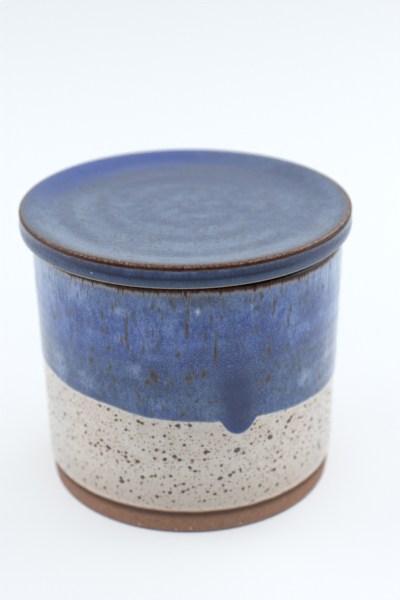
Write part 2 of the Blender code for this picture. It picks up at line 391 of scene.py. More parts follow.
def smooth_curve(points, theta):
    """Periodic Catmull-Rom curve through (degrees, value) points."""
    xs, ys = np.array(points[:-1], float).T
    degrees = (np.degrees(theta) + 180) % 360 - 180
    count = len(xs)
    k = np.clip(np.searchsorted(xs, degrees, side="right") - 1, 0, count - 1)
    start = xs[k]
    end = np.where(k == count - 1, xs[0] + 360, xs[(k + 1) % count])
    t = (degrees - start) / (end - start)
    p0, p1, p2, p3 = (ys[(k + step) % count] for step in (-1, 0, 1, 2))
    return 0.5 * (2 * p1 + (p2 - p0) * t + (2 * p0 - 5 * p1 + 4 * p2 - p3) * t ** 2
                  + (3 * p1 - p0 - 3 * p2 + p3) * t ** 3)


def dip_line(theta):
    """Lower edge of the blue coat."""
    z = smooth_curve(DIP, theta)
    for centre, width, drop in RUNS:
        offset = np.abs(turn_diff(np.degrees(theta), centre)) / width
        z = z - drop * (1 - np.clip(offset, 0, 1) ** 2.1)
    return z + 0.13 * edge_jitter(theta, 0.0)


def cream_line(theta):
    """Lower edge of the cream coat, just above the bare foot."""
    return GLAZE_Z + 0.12 * cream_fray(theta, 0.0) + 0.16 * cream_drift(theta, 0.0)


def scatter_marks(seed, count, low, high, sparse, size, tall):
    """Random marks in the columns of MARKS."""
    rng = np.random.default_rng(seed)
    marks = []
    while len(marks) < count:
        degrees, z = rng.uniform(-180, 180), rng.uniform(low, high)
        if abs(degrees) < sparse and rng.random() < 0.45:
            continue
        width = size * rng.uniform(0.55, 1.25)
        marks.append((degrees, z, width, width * rng.uniform(*tall), rng.uniform(0.45, 1.0)))
    return marks


def scatter_specks(count):
    """Random cream specks in the columns of MARKS: fewer and smaller near the front."""
    rng = np.random.default_rng(31)
    specks = []
    while len(specks) < count:
        degrees, z = rng.uniform(-180, 180), rng.uniform(11.5, 47)
        radius = 0.34 + 0.50 * rng.random() ** 2
        if abs(degrees) < 54:
            if len(specks) % 4:
                continue
            radius *= 0.8
        specks.append((degrees, z, radius * rng.uniform(0.8, 1.3), radius, 1.0))
    return specks


def mark_field(theta, z, marks, map_r):
    """Signed distance in mm, above 0 inside a mark, and the darkness of the nearest mark.
    Tall marks are drops: a thin top and a fuller foot."""
    field = np.full(theta.shape, -3.0)
    dark = np.zeros(theta.shape)
    degrees = np.degrees(theta)
    for centre, centre_z, width, height, darkness in marks:
        across = np.radians(turn_diff(degrees, centre)) * map_r
        up = z - centre_z
        near = (np.abs(across) < width + 3) & (np.abs(up) < height + 3)
        if not near.any():
            continue
        across, up = across[near], up[near]
        share = up / height
        across = across + 0.28 * width * np.sin(up / max(height, 1.5) * 2.2 + centre)
        across = across + 0.16 * mark_bend(theta[near], z[near])
        drop = width * (0.92 - 0.42 * np.clip(share, -1, 1)) if height > 1.6 * width else width
        inside = (1 - np.sqrt((across / drop) ** 2 + share ** 2)) * np.minimum(drop, height)
        better = inside > field[near]
        field[near] = np.where(better, inside, field[near])
        dark[near] = np.where(better, darkness, dark[near])
    return field, dark


def patch_field(theta, z, patches):
    """Soft round patches; the strongest wins."""
    out = np.zeros(theta.shape)
    for centre, centre_z, width, height, strength in patches:
        across = np.radians(turn_diff(np.degrees(theta), centre)) * BLUE_MAP_R
        shape = np.exp(-((across / width) ** 2 + ((z - centre_z) / height) ** 2))
        out = np.maximum(out, strength * shape)
    return out


# ---------------------------------------------------------------------- pot skins
def make_pot_clay():
    """Clay of the pot: underside, bare foot band and rim show; the rest is under glaze."""
    skin = Skin("pot_clay", 480)
    skin.disc("under", (0.0, 0.0, 0.62, 0.62), reach=50.2)
    skin.band("foot", (0.0, 0.64, 1.0, 0.84), strips=2)
    skin.band("rim", (0.0, 0.86, 1.0, 0.90))
    skin.band("hidden", (0.0, 0.91, 1.0, 1.0))
    theta = skin.theta
    # recessed underside, with spiral trimming marks
    skin.ring(0.0, 1.1, "under")
    for r in np.linspace(0.6, 40.6, 74):
        trim = 0.05 * ripple(r, 1.9, theta) + 0.03 * ripple(r, 0.83)
        skin.ring(r, 1.1 + trim * min(1.0, r / 6) + 0.05 * dents(theta, r), "under")
    skin.rings([(41.0, 0.92), (41.35, 0.62), (41.7, 0.30), (42.0, 0.10), (42.35, 0.0)], "under")
    # the foot's standing face
    for r in np.linspace(42.9, 48.6, 13):
        skin.ring(r, 0.02 * ripple(r, 1.3) * (0.5 + 0.5 * np.sin(3 * theta)) + 0.02, "under")
    for r, z in arc(FOOT_R - FOOT_ROUND, FOOT_ROUND, FOOT_ROUND, -90, 0, 7):
        skin.ring(r + 0.03 * dents(theta, z), z, "foot")
    # foot band, with a shallow groove under the glaze line
    for z in np.linspace(1.0, 9.15, 24):
        r = FOOT_R + (FOOT_TOP_R - FOOT_R) * (z - FOOT_ROUND) / (GLAZE_Z - FOOT_ROUND)
        marks = 0.045 * ripple(z, 1.7, theta) + 0.05 * dents(theta, z * 3)
        skin.ring(r + marks - 0.34 * math.exp(-((z - 8.55) / 0.75) ** 2), z, "foot")
    for rise, inset in ((-0.30, 0.46), (0.1, 0.50)):
        skin.ring(body_r(GLAZE_Z) - inset, cream_line(theta) + rise, "foot")
    for z in np.linspace(11.0, 92.4, 16):
        skin.ring(wall_r(theta, z) - 0.5, z, "hidden")
    # rim
    top = RIM_Z - rim_dip(theta)
    skin.rings(arc(CROWN_OUT_R, top - RIM_OUT_ROUND, RIM_OUT_ROUND - 0.35, 10, 82, 6), "rim")
    skin.rings([(CROWN_OUT_R - 0.15, top - 0.10), (CROWN_OUT_R - 0.35, top - 0.01)], "rim")
    for r in np.linspace(CROWN_OUT_R - 0.6, CROWN_IN_R + 0.3, 6):
        skin.ring(r, top + 0.02 * ripple(r, 0.6), "rim")
    skin.ring(CROWN_IN_R + 0.05, top - 0.04, "rim")
    skin.rings(arc(CROWN_IN_R, top - RIM_IN_ROUND, RIM_IN_ROUND - 0.3, 95, 178, 5), "rim")
    # inside wall and floor
    for z in np.linspace(92.0, FILLET_Z, 12):
        skin.ring(body_r(z) - WALL + 0.35, z, "hidden")
    skin.rings(arc(FILLET_R, FILLET_Z, FILLET + 0.35, -8, -90, 8), "hidden")
    for r in [*np.linspace(FILLET_R - 2, 2, 8), 0.0]:
        skin.ring(r, FLOOR_Z - 0.35, "hidden")
    return skin.build(lean)


def make_cream():
    """Cream coat round the outside, running up under the blue."""
    skin = Skin("pot_cream_glaze", 696)
    skin.band("seen", (0.0, 0.0, 1.0, 0.93), strips=3)
    skin.band("hidden", (0.0, 0.94, 1.0, 1.0))
    theta = skin.theta
    low = cream_line(theta)
    bead, top, back = 0.30, 56.0, COAT + 0.3
    # rounded lower edge
    for angle in np.radians((-84, -60, -36, -14, 6)):
        skin.ring(wall_r(theta, low) - bead + bead * math.cos(angle) + 0.06,
                  low + bead + bead * math.sin(angle), "seen")
    for rise in [*np.linspace(0.55, 3.0, 6), *np.linspace(3.5, 39.5, 74)]:
        z = low + rise
        swell = 0.10 * math.exp(-((rise - 0.7) / 0.6) ** 2)
        skin.ring(wall_r(theta, z) + swell, z, "seen")
    # back of the coat
    skin.ring(wall_r(theta, top) - 0.05, top, "hidden")
    for z in (top, 30.0):
        skin.ring(wall_r(theta, z) - back, z, "hidden")
    skin.ring(body_r(GLAZE_Z) - COAT - 0.12, low + 0.3, "hidden")
    piece = skin.build(lean, loop=True)
    around, z = skin.grid()
    specks = [(degrees, up, radius, radius * 0.9, 1.0) for degrees, up, radius in SPECKS]
    specks += scatter_specks(190)
    skin.attribute("speck", mark_field(around, z, specks, CREAM_MAP_R)[0])
    skin.attribute("above_edge", z - low)
    skin.attribute("below_dip", dip_line(theta) - z)
    return piece


def run_bulge(theta, z, dip):
    """Extra thickness where the glaze ran: full at the run's end, fading upwards."""
    out = 0.0 * theta
    for centre, width, _ in THICK_RUNS:
        offset = np.abs(turn_diff(np.degrees(theta), centre)) / (width * 0.92)
        along = np.exp(-np.clip(z - (dip + 2.2), 0, None) / 13.0)
        out = out + 0.55 * np.where(offset < 1, (1 - offset ** 2), 0) ** 1.2 * along
    return out


def pool_field(theta, z):
    """Where glaze pooled above the runs: bands that widen and drift sideways upwards."""
    pool = np.zeros(z.shape)
    for centre, width, drop in THICK_RUNS:
        above = np.clip(z - 46, 0, 40)
        offset = turn_diff(np.degrees(theta), centre - 0.14 * above)
        offset = offset / (width * (0.90 + 0.034 * above))
        fade = np.exp(-np.clip(z - 53, 0, None) ** 2 / 125.0)
        pool = np.maximum(pool, np.exp(-np.abs(offset) ** 2.1) * fade * min(1, drop / 5.0))
    return pool


def make_blue():
    """Blue coat, from over the rim's outer corner down to the dip line."""
    skin = Skin("pot_blue_glaze", 640)
    skin.band("seen", (0.0, 0.0, 1.0, 0.90), strips=2)
    skin.band("hidden", (0.0, 0.92, 1.0, 1.0))
    theta = skin.theta
    dip = dip_line(theta)
    roll = 1.1                        # height of the rolled lower edge
    # over the rim's outer corner; the first ring is tucked into the clay
    corner = arc(CROWN_OUT_R, RIM_Z - RIM_OUT_ROUND, RIM_OUT_ROUND, 84, 4, 10)
    for k, (r, z) in enumerate(corner):
        thin = 0.06 + 0.10 * k / 10
        angle = math.radians(84 - 8.0 * k)
        skin.ring(r + thin * math.cos(angle) * 0.6 - 0.12 * (k == 0),
                  z + 0.02 * math.sin(angle) - 0.05 * (k == 0) - rim_dip(theta), "seen")
    wall_top = RIM_Z - RIM_OUT_ROUND - 0.45 - rim_dip(theta)
    for share in np.linspace(0, 1, 112):
        z = wall_top + (dip + roll - wall_top) * share
        thick = BLUE_COAT * (0.55 + 0.45 * np.clip((92.2 - z) / 9.0, 0, 1))
        thick = thick + 0.05 * dents(theta, z * 2.3)
        skin.ring(wall_r(theta, z) + thick + run_bulge(theta, z, dip), z, "seen")
    # rolled lower edge, from full thickness to nothing
    for angle in np.radians((20, 38, 54, 68, 80, 90)):
        z = dip + roll * (1 - math.sin(angle))
        full = BLUE_COAT + run_bulge(theta, z, dip)
        skin.ring(wall_r(theta, z) + full * math.cos(angle) - 0.03, z, "seen")
    # back of the coat
    skin.ring(wall_r(theta, dip + 0.3) - 0.25, dip + 0.3, "hidden")
    for share in (0.33, 0.66):
        z = dip + (92.0 - dip) * share
        skin.ring(wall_r(theta, z) - 0.25, z, "hidden")
    skin.ring(RIM_R - 0.35, 91.6, "hidden")
    skin.ring(CROWN_OUT_R + 0.1, RIM_Z - 0.45 - rim_dip(theta), "hidden")
    piece = skin.build(lean, loop=True)

    around, z = skin.grid()
    marks = [(degrees, up, MARK_WIDTH * width, MARK_HEIGHT * height, darkness)
             for degrees, up, width, height, darkness in MARKS]
    for row in SCATTERED_MARKS:
        marks += scatter_marks(*row)
    field, dark = mark_field(around, z, marks, BLUE_MAP_R)
    # each column starts again from the same seed
    columns = [np.random.default_rng(43).uniform(low, high, 16) for low, high in PALE_RANGES]
    pale = PALE + [(*row, 0.5) for row in zip(*columns)]
    skin.attribute("mark", field)
    skin.attribute("mark_dark", dark)
    for name, patches in (("pale", pale), ("deep", DEEP), ("cobalt", COBALT)):
        skin.attribute(name, patch_field(around, z, patches))
    skin.attribute("edge", z - dip)
    skin.attribute("rim_dip", rim_dip(around))
    skin.attribute("pool", pool_field(around, z))
    return piece


def make_liner():
    """Cream coat inside the pot."""
    skin = Skin("pot_inner_glaze", 480)
    skin.band("wall", (0.0, 0.0, 1.0, 0.60), strips=2)
    skin.disc("floor", (0.0, 0.61, 0.37, 0.98), reach=48.0)
    skin.band("hidden", (0.40, 0.62, 1.0, 0.98))
    theta = skin.theta
    skin.ring(0.0, FLOOR_Z, "floor")
    for r in np.linspace(0.8, FILLET_R - 1.2, 34):
        wave = 0.10 * ripple(r, 5.2) * (r / FILLET_R)
        skin.ring(r, FLOOR_Z + wave + 0.04 * dents(theta, r), "floor")
    for r, z in arc(FILLET_R, FILLET_Z, FILLET, -90, -6, 16):
        skin.ring(r - 0.4 * throwing(theta, z), z, "floor")
    for share in np.linspace(1, 0, 84):
        z = (RIM_Z - RIM_IN_ROUND - 0.6 - rim_dip(theta)) * (1 - share) + FILLET_Z * share
        uneven = 1.6 * throwing(theta, z) + 0.05 * dents(theta, z + 40)
        skin.ring(body_r(z) - WALL - uneven, z, "wall")
    lip_z = RIM_Z - RIM_IN_ROUND - 0.03 - rim_dip(theta)
    skin.rings(arc(CROWN_IN_R, lip_z, RIM_IN_ROUND, 176, 92, 9), "wall")
    # back of the coat, inside the clay
    skin.ring(CROWN_IN_R, RIM_Z - 0.5 - rim_dip(theta), "hidden")
    for z in (92.4, 60.0, 30.0):
        skin.ring(body_r(z) - WALL + 0.5, z, "hidden")
    skin.rings(arc(FILLET_R, FILLET_Z, FILLET + 0.5, -8, -80, 6), "hidden")
    for r in (FILLET_R, 28.0, 14.0, 0.0):
        skin.ring(r, FLOOR_Z - 0.5, "hidden")
    piece = skin.build(lean)
    skin.attribute("from_rim", RIM_Z - skin.grid()[1])
    return piece


# ---------------------------------------------------------------------- lid skins
def lid_sag(theta):
    """The lid warped in firing: its back edge is low."""
    return -1.0 * (0.5 - 0.5 * np.cos(theta)) ** 1.5


def dish_z(r, theta):
    """Top of the lid: gently dished, with the finger rings of throwing."""
    slope = np.clip((r - (CREST_R - DISH_SLOPE)) / DISH_SLOPE, 0, 1)
    z = TOP_Z - DISH + DISH * (0.5 - 0.5 * math.cos(math.pi * slope)) ** 1.25
    fade = min(1.0, r / 7.0) * (1 - slope ** 3)
    off = r + 0.9 * np.sin(theta + 0.7) + 0.5 * np.sin(2 * theta + 2.0)
    rings = 0.045 * np.sin(TAU * off / DISH_PITCH + 0.6) + 0.010 * np.sin(TAU * off / 6.1 + 2.0)
    z = z + fade * (rings + 0.05 * dents(theta, r * 1.3)) + 0.05 * lid_swirl(theta, r)
    return z + lid_sag(theta) * (r / CREST_R) ** 2


def arris_z(theta):
    """The lower arris isn't quite level: a little lower on the left."""
    return ARRIS_Z - 0.25 + 0.13 * np.tanh(3.0 * np.sin(theta + math.radians(26)))


def lid_side(share, theta):
    """From the arris (0) to the widest part (1): a bulging band, a groove, a shallow hollow."""
    z = arris_z(theta) * (1 - share) + (WIDEST_Z + lid_sag(theta)) * share
    bulge = 0.24 * math.sin(math.pi * min(1.0, share / 0.6))
    facing = np.clip(np.cos(theta), 0.0, 1.0) ** 1.5
    hollow = (0.05 + 0.09 * facing) * math.exp(-((share - 0.76) / 0.17) ** 2)
    groove = 0.05 * facing * math.exp(-((share - 0.54) / 0.06) ** 2)
    r = ARRIS_R + (LID_R - ARRIS_R) * share + bulge
    return r - hollow - groove + 0.04 * dents(theta, z * 1.5), z


def make_lid_glaze():
    """Blue coat over the lid's top and side."""
    skin = Skin("lid_blue_glaze", 600)
    skin.disc("top", (0.0, 0.0, 0.80, 0.80), reach=56.4)
    skin.band("side", (0.0, 0.81, 1.0, 0.985), strips=2)
    skin.band("hidden", (0.82, 0.02, 0.99, 0.78))
    theta = skin.theta
    for r in [0.0, *np.linspace(0.7, CREST_R - 0.5, 108)]:
        skin.ring(r, dish_z(r, theta), "top")
    # lip
    for k in range(1, 13):
        angle = math.radians(90 - 90 * k / 12)
        rise = (TOP_Z - WIDEST_Z + 0.05 * lid_swirl(theta, 55)) * math.sin(angle)
        skin.ring(CREST_R + (LID_R - CREST_R) * math.cos(angle) + 0.03 * dents(theta, 3 * k),
                  WIDEST_Z + rise + lid_sag(theta), "side")
    for share in np.linspace(0.98, 0.02, 40):
        skin.ring(*lid_side(share, theta), "side")
    low = arris_z(theta)
    for inset, drop in ((0.06, 0.0), (0.18, 0.10), (0.60, 0.14)):
        skin.ring(ARRIS_R - inset, low - drop, "side")
    # back of the coat
    skin.rings([(LID_R - 1.2, ARRIS_Z + 0.4), (LID_R - 2.4, ARRIS_Z + 3.0),
                (LID_R - 2.8, WIDEST_Z - 0.9)], "hidden")
    for r in (50.0, 40.0, 20.0, 0.0):
        skin.ring(r, TOP_Z - DISH - 1.1 + lid_sag(theta) * (r / CREST_R) ** 2, "hidden")
    piece = skin.build(lid_shift)
    skin.attribute("above_arris", skin.grid()[1] - low)
    return piece


def make_lid_clay():
    """Clay of the lid: underside, locating ring and seat."""
    skin = Skin("lid_clay", 480)
    skin.disc("under", (0.0, 0.0, 0.64, 0.64), reach=57.2)
    skin.band("ring", (0.0, 0.66, 1.0, 0.90), strips=2)
    skin.band("hidden", (0.0, 0.92, 1.0, 1.0))
    theta = skin.theta
    skin.ring(0.0, UNDER_Z + 0.25, "under")
    for r in np.linspace(2.0, RING_IN - 2.0, 24):
        skin.ring(r, UNDER_Z + 0.25 + 0.03 * ripple(r, 2.1), "under")
    # locating ring: down its inside, round the end, up its outside
    skin.rings(arc(RING_IN - 1.5, UNDER_Z - 1.4, 1.5, 90, 4, 6), "ring")
    for z in np.linspace(UNDER_Z - 2.2, RING_END_Z + 1.2, 12):
        skin.ring(RING_IN + 0.05 * ripple(z, 2.0, theta), z, "ring")
    skin.rings(arc(RING_IN + 1.0, RING_END_Z + 1.0, 1.0, 180, 270, 6), "ring")
    skin.rings(arc(RING_OUT - RING_TAPER - 1.0, RING_END_Z + 1.0, 1.0, -90, 0, 6), "ring")
    for z in np.linspace(RING_END_Z + 1.6, SEAT_Z - 1.0, 13):
        r = RING_OUT - RING_TAPER * (SEAT_Z - z) / (SEAT_Z - RING_END_Z)
        skin.ring(r + 0.04 * ripple(z, 1.6, theta), z, "ring")
    skin.rings(arc(RING_OUT + 0.8, SEAT_Z - 0.8, 0.8, 176, 92, 5), "ring")
    # seat, then the slope up to the arris
    for r in np.linspace(RING_OUT + 1.2, SEAT_FLAT_R, 16):
        skin.ring(r, SEAT_Z + 0.02 * ripple(r, 1.1), "under")
    for share in (0.25, 0.5, 0.75, 1.0):
        skin.ring(SEAT_FLAT_R + (ARRIS_R - 0.25 - SEAT_FLAT_R) * share,
                  SEAT_Z + (arris_z(theta) - 0.16 - SEAT_Z) * share, "under")
    # under the glaze
    skin.rings([(LID_R - 0.75, ARRIS_Z + 0.25), (LID_R - 2.0, ARRIS_Z + 3.0),
                (LID_R - 2.3, WIDEST_Z - 0.9), (CREST_R - 1.0, TOP_Z - 1.9)], "hidden")
    for r in (48.0, 42.0, 20.0, 0.0):
        skin.ring(r, TOP_Z - DISH - 0.9 + lid_sag(theta) * (r / CREST_R) ** 2, "hidden")
    return skin.build(lid_shift)


def make_lid_under():
    """Thin cream coat on the lid's underside, within the ring."""
    skin = Skin("lid_inner_glaze", 360)
    skin.disc("seen", (0.0, 0.0, 0.9, 0.9), reach=42.5)
    skin.band("hidden", (0.92, 0.0, 1.0, 1.0))
    theta = skin.theta
    edge = RING_IN - 2.4 + 0.35 * under_edge(theta, 0)
    skin.ring(0.0, UNDER_Z + 0.05, "seen")
    for share in np.linspace(0.03, 0.985, 44):
        uneven = 0.05 * math.sin(share * 9) + 0.03 * dents(theta, share * 40)
        skin.ring(edge * share, UNDER_Z + 0.05 + uneven, "seen")
    skin.rings([(edge * 0.995, UNDER_Z + 0.12), (edge, UNDER_Z + 0.22)], "seen")
    skin.rings([(edge - 0.1, UNDER_Z + 0.5), (20.0, UNDER_Z + 0.6), (0.0, UNDER_Z + 0.6)], "hidden")
    piece = skin.build(lid_shift)
    skin.attribute("from_rim", 99.0)  # far from any rim, for the shared inner glaze
    return piece


# ------------------------------------------------------------------- node graphs
def srgb(red, green, blue):
    """Linear colour from 0-255 display values."""
    parts = [part / 255.0 for part in (red, green, blue)]
    return (*(p / 12.92 if p <= 0.04045 else ((p + 0.055) / 1.055) ** 2.4 for p in parts), 1.0)


class Field:
    """A node's output. Arithmetic on it adds Math nodes."""

    def __init__(self, graph, socket):
        self.graph, self.socket = graph, socket

    def __add__(self, other):
        return self.graph.math("ADD", self, other)

    def __radd__(self, other):
        return self.graph.math("ADD", other, self)

    def __sub__(self, other):
        return self.graph.math("SUBTRACT", self, other)

    def __rsub__(self, other):
        return self.graph.math("SUBTRACT", other, self)

    def __mul__(self, other):
        return self.graph.math("MULTIPLY", self, other)

    def __abs__(self):
        return self.graph.math("ABSOLUTE", self)

    def sine(self):
        return self.graph.math("SINE", self)

    def max(self, other):
        return self.graph.math("MAXIMUM", self, other)

    def sway(self, size):
        """Noise centred on 0 and scaled."""
        return (self - 0.5) * size

    def ease(self, start, end, low=0.0, high=1.0):
        """Smooth step: 'low' where the field is at start, 'high' where it is at end."""
        inputs = {"Value": self, "From Min": start, "From Max": end, "To Min": low, "To Max": high}
        return self.graph.field("MapRange", inputs, "Result", interpolation_type="SMOOTHSTEP")

    def cover(self, tint, mask, strength=None):
        """This colour with a tint laid over it where the mask is 1."""
        return self.graph.mix(self, tint, mask if strength is None else mask * strength)


class Graph:
    """Short ways to add shader nodes to a tree."""

    def __init__(self, tree):
        self.tree = tree

    def put(self, socket, value):
        if isinstance(value, Field):
            self.tree.links.new(value.socket, socket)
        else:
            socket.default_value = value

    def node(self, kind, inputs, **settings):
        node = self.tree.nodes.new("ShaderNode" + kind)
        for key, value in settings.items():
            setattr(node, key, value)
        for key, value in inputs.items():
            self.put(node.inputs[key], value)
        return node

    def field(self, kind, inputs, output=0, **settings):
        return Field(self, self.node(kind, inputs, **settings).outputs[output])

    def split(self, kind, value):
        """The three outputs of a SeparateXYZ or SeparateColor node."""
        return [Field(self, output) for output in self.node(kind, {0: value}).outputs]

    def math(self, operation, a, b=0.0):
        return self.field("Math", {0: a, 1: b}, operation=operation)

    def vector(self, operation, a, b):
        return self.field("VectorMath", {0: a, 1: b}, operation=operation)

    def mix(self, first, second, factor):
        """first where the factor is 0, second where it is 1."""
        inputs = {"Factor": factor, 6: first, 7: second}
        return self.field("Mix", inputs, 2, data_type="RGBA", clamp_factor=True)

    def is_camera_ray(self):
        return self.field("LightPath", {}, "Is Camera Ray")


class Surface(Graph):
    """A Principled material with patterns in millimetres of the object."""

    def __init__(self, name):
        self.material = bpy.data.materials.new(name)
        self.material.use_nodes = True
        super().__init__(self.material.node_tree)
        place = self.field("TexCoord", {}, "Object")
        self.place = self.vector("MULTIPLY", place, (1000, 1000, 1000))
        self.x, self.y, self.z = self.split("SeparateXYZ", self.place)

    def attribute(self, name):
        return self.field("Attribute", {}, "Fac", attribute_name=name)

    def noise(self, scale, detail=3, rough=0.55, stretch=None, output="Fac"):
        """A small stretch value draws the pattern out along that axis."""
        place = self.vector("MULTIPLY", self.place, stretch) if stretch else self.place
        inputs = {"Scale": scale, "Detail": detail, "Roughness": rough, "Vector": place}
        return self.field("TexNoise", inputs, output)

    def radius(self, place=None):
        """Distance from the z axis."""
        flat = self.vector("MULTIPLY", place or self.place, (1, 1, 0))
        return self.field("VectorMath", {0: flat}, "Value", operation="LENGTH")

    def spot(self, centre, radius):
        """Signed distance in mm, above 0 within the radius of one place."""
        inputs = {0: self.place, 1: centre}
        return radius - self.field("VectorMath", inputs, "Value", operation="DISTANCE")

    def wobbled(self, place, wobble, stretch=1.0):
        noise = self.noise(1.1, detail=2, rough=0.5, output="Color")
        offset = self.vector("SUBTRACT", noise, (0.5, 0.5, 0.5))
        size = (2 * wobble, 2 * wobble * stretch, 0)
        return self.vector("ADD", place, self.vector("MULTIPLY", offset, size))

    def wall(self, origin, wobble, stretch=1.0):
        """Flat coordinates round the wall (mm round, mm up), for evenly spread specks."""
        around = self.math("ARCTAN2", self.x, self.y * -1.0)
        inputs = {0: around * CREAM_MAP_R + origin[0], 1: self.z * stretch + origin[1]}
        return self.wobbled(self.field("CombineXYZ", inputs), wobble, stretch)

    def flat(self, origin, wobble):
        """Flat coordinates over a disc, in mm."""
        place = self.vector("MULTIPLY", self.place, (1, 1, 0))
        return self.wobbled(self.vector("ADD", place, (*origin, 0)), wobble)

    def specks(self, place, cell, radii, power, share):
        """Signed distance in mm, above 0 in a speck, and a random number per speck.
        Each cell (mm) holds one speck of random size between two radii; a higher power makes
        more small ones, and 'share' of the cells are used."""
        inputs = {"Scale": 1.0 / cell, "Randomness": 0.9, "Vector": place}
        node = self.node("TexVoronoi", inputs, voronoi_dimensions="2D")
        colour = Field(self, node.outputs["Color"])
        size_pick, use_pick, other = self.split("SeparateColor", colour)
        size = self.math("POWER", size_pick, power) * (radii[1] - radii[0]) + radii[0]
        used = self.math("GREATER_THAN", use_pick, 1.0 - share)
        distance = size - Field(self, node.outputs["Distance"]) * cell
        return (distance + 3.0) * used - 3.0, other

    def finish(self, colour, rough, height, depth, ior, sheen=0.0, specular=0.5):
        """Wires up the shader; the height drives a bump 'depth' metres deep."""
        bump = {"Strength": 1.0, "Distance": depth, "Height": height}
        inputs = {
            "Base Color": colour, "Roughness": rough, "IOR": ior, "Specular IOR Level": specular,
            "Sheen Weight": sheen, "Sheen Roughness": 0.30, "Sheen Tint": (0.85, 0.95, 1.0, 1),
            "Normal": self.field("Bump", bump, "Normal")}
        shader = self.tree.nodes["Principled BSDF"]
        for key, value in inputs.items():
            self.put(shader.inputs[key], value)
        return self.material


# ------------------------------------------------------------------ pot's blue glaze
def blue_ground(mat, grain, fleck, mid, big, streak):
    """Milky blue by height. Also returns where the blue lies over the cream coat."""
    z = mat.z
    milk = (fleck.sway(0.75) + mid.sway(1.15)) + (streak.sway(0.35) + (grain - 0.5) * 0.85)
    milk = milk + big.sway(1.0)
    colour = mat.mix(srgb(46, 72, 140), srgb(104, 132, 186), milk.ease(-0.37, 0.37))
    # over the cream the blue is thinner, greener and greyer
    zone = z + mid.sway(8.0) + big.sway(18.0)
    over = zone.ease(71.0, 62.0)
    slate = mat.mix(srgb(42, 66, 110), srgb(80, 107, 144), milk.ease(-0.38, 0.38))
    colour = colour.cover(slate, over, strength=0.92)
    # deepest along the overlap
    band = zone.ease(60.0, 66.0) * zone.ease(76.0, 69.0)
    overlap = mat.mix(srgb(48, 70, 134), srgb(74, 98, 160), grain)
    colour = colour.cover(overlap, band, strength=0.45)
    # darker finger rings
    ring = ((z + big.sway(16.0)) * (TAU / 9.5) + 1.2).sine()
    colour = colour.cover(srgb(40, 58, 116), ring.ease(0.1, 1.0), strength=0.26)
    # hazy grey-blue under the rim
    haze = (z + streak.sway(14.0)).ease(80.0, 91.0)
    grey = mat.mix(srgb(84, 106, 146), srgb(116, 136, 170), fleck)
    colour = colour.cover(grey, haze, strength=0.62)
    # painted shade under the lid's overhang, greying the top of the wall all round
    shade = (z + fleck.sway(3.0)).ease(89.5, 92.6)
    colour = colour.cover(srgb(84, 96, 112), shade, strength=0.8)
    # painted reflection: paler towards the left and right sides of the rim on the front half, in fine
    # vertical streaks
    painted_edge_reflection = abs(mat.x + 1.0).ease(33.0, 49.0) * (z + streak.sway(16.0)).ease(76.0, 90.0)
    painted_edge_reflection = painted_edge_reflection * mat.y.ease(6.0, -12.0)
    lines = streak.ease(0.30, 0.62, low=0.25, high=0.85)
    return colour.cover(srgb(158, 182, 208), painted_edge_reflection * lines), over


def blue_patches(mat, colour, grain, grit, fleck, mid):
    """Milky, cobalt and deep patches and the runs. Also returns where glaze pooled."""
    pale = mat.attribute("pale")
    milky = (pale + fleck.sway(0.9)).ease(0.20, 1.05)
    colour = colour.cover(srgb(156, 174, 212), milky, strength=0.75)
    colour = colour.cover(srgb(206, 212, 222), (pale + grit * 0.5).ease(0.80, 1.0), strength=0.8)
    cobalt = (mat.attribute("cobalt") + mid.sway(0.9)).ease(0.15, 0.95)
    bright = mat.mix(srgb(38, 66, 154), srgb(82, 112, 196), fleck)
    colour = colour.cover(bright, cobalt, strength=0.50)
    deep = (mat.attribute("deep") + mid.sway(0.35)).ease(0.08, 0.75)
    colour = colour.cover(srgb(38, 56, 108), deep, strength=0.62)
    # painted shadow of the lid's overhang: a dark grey patch under the rim at the front
    painted_lid_shadow = abs(mat.x - 3.0).ease(13.0, 4.0) * mat.y.ease(0.0, -20.0)
    painted_lid_shadow = painted_lid_shadow * (mat.z.ease(86.0, 88.2) * mat.z.ease(92.2, 91.0))
    painted_lid_shadow = painted_lid_shadow * fleck.ease(0.30, 0.58, low=0.4)
    colour = colour.cover(srgb(54, 64, 80), painted_lid_shadow, strength=0.72)
    # runs: deep navy, cobalt at the tip
    pool = (mat.attribute("pool") + mid.sway(0.50)).ease(0.05, 0.92)
    navy = mat.mix(srgb(20, 34, 78), srgb(34, 51, 100), grain.ease(0.3, 0.7))
    colour = colour.cover(navy, pool, strength=0.88)
    edge = mat.attribute("edge") + grit * 0.9
    tip = edge.ease(3.4, 0.4) * mat.attribute("pool").ease(0.10, 0.5)
    colour = colour.cover(srgb(28, 58, 128), tip, strength=0.85)
    # a lighter, greener line where the blue thins at its lower edge
    thin = edge.ease(1.1, 0.0) * (1.0 - tip * 0.6)
    return colour.cover(srgb(140, 164, 184), thin, strength=0.5), pool


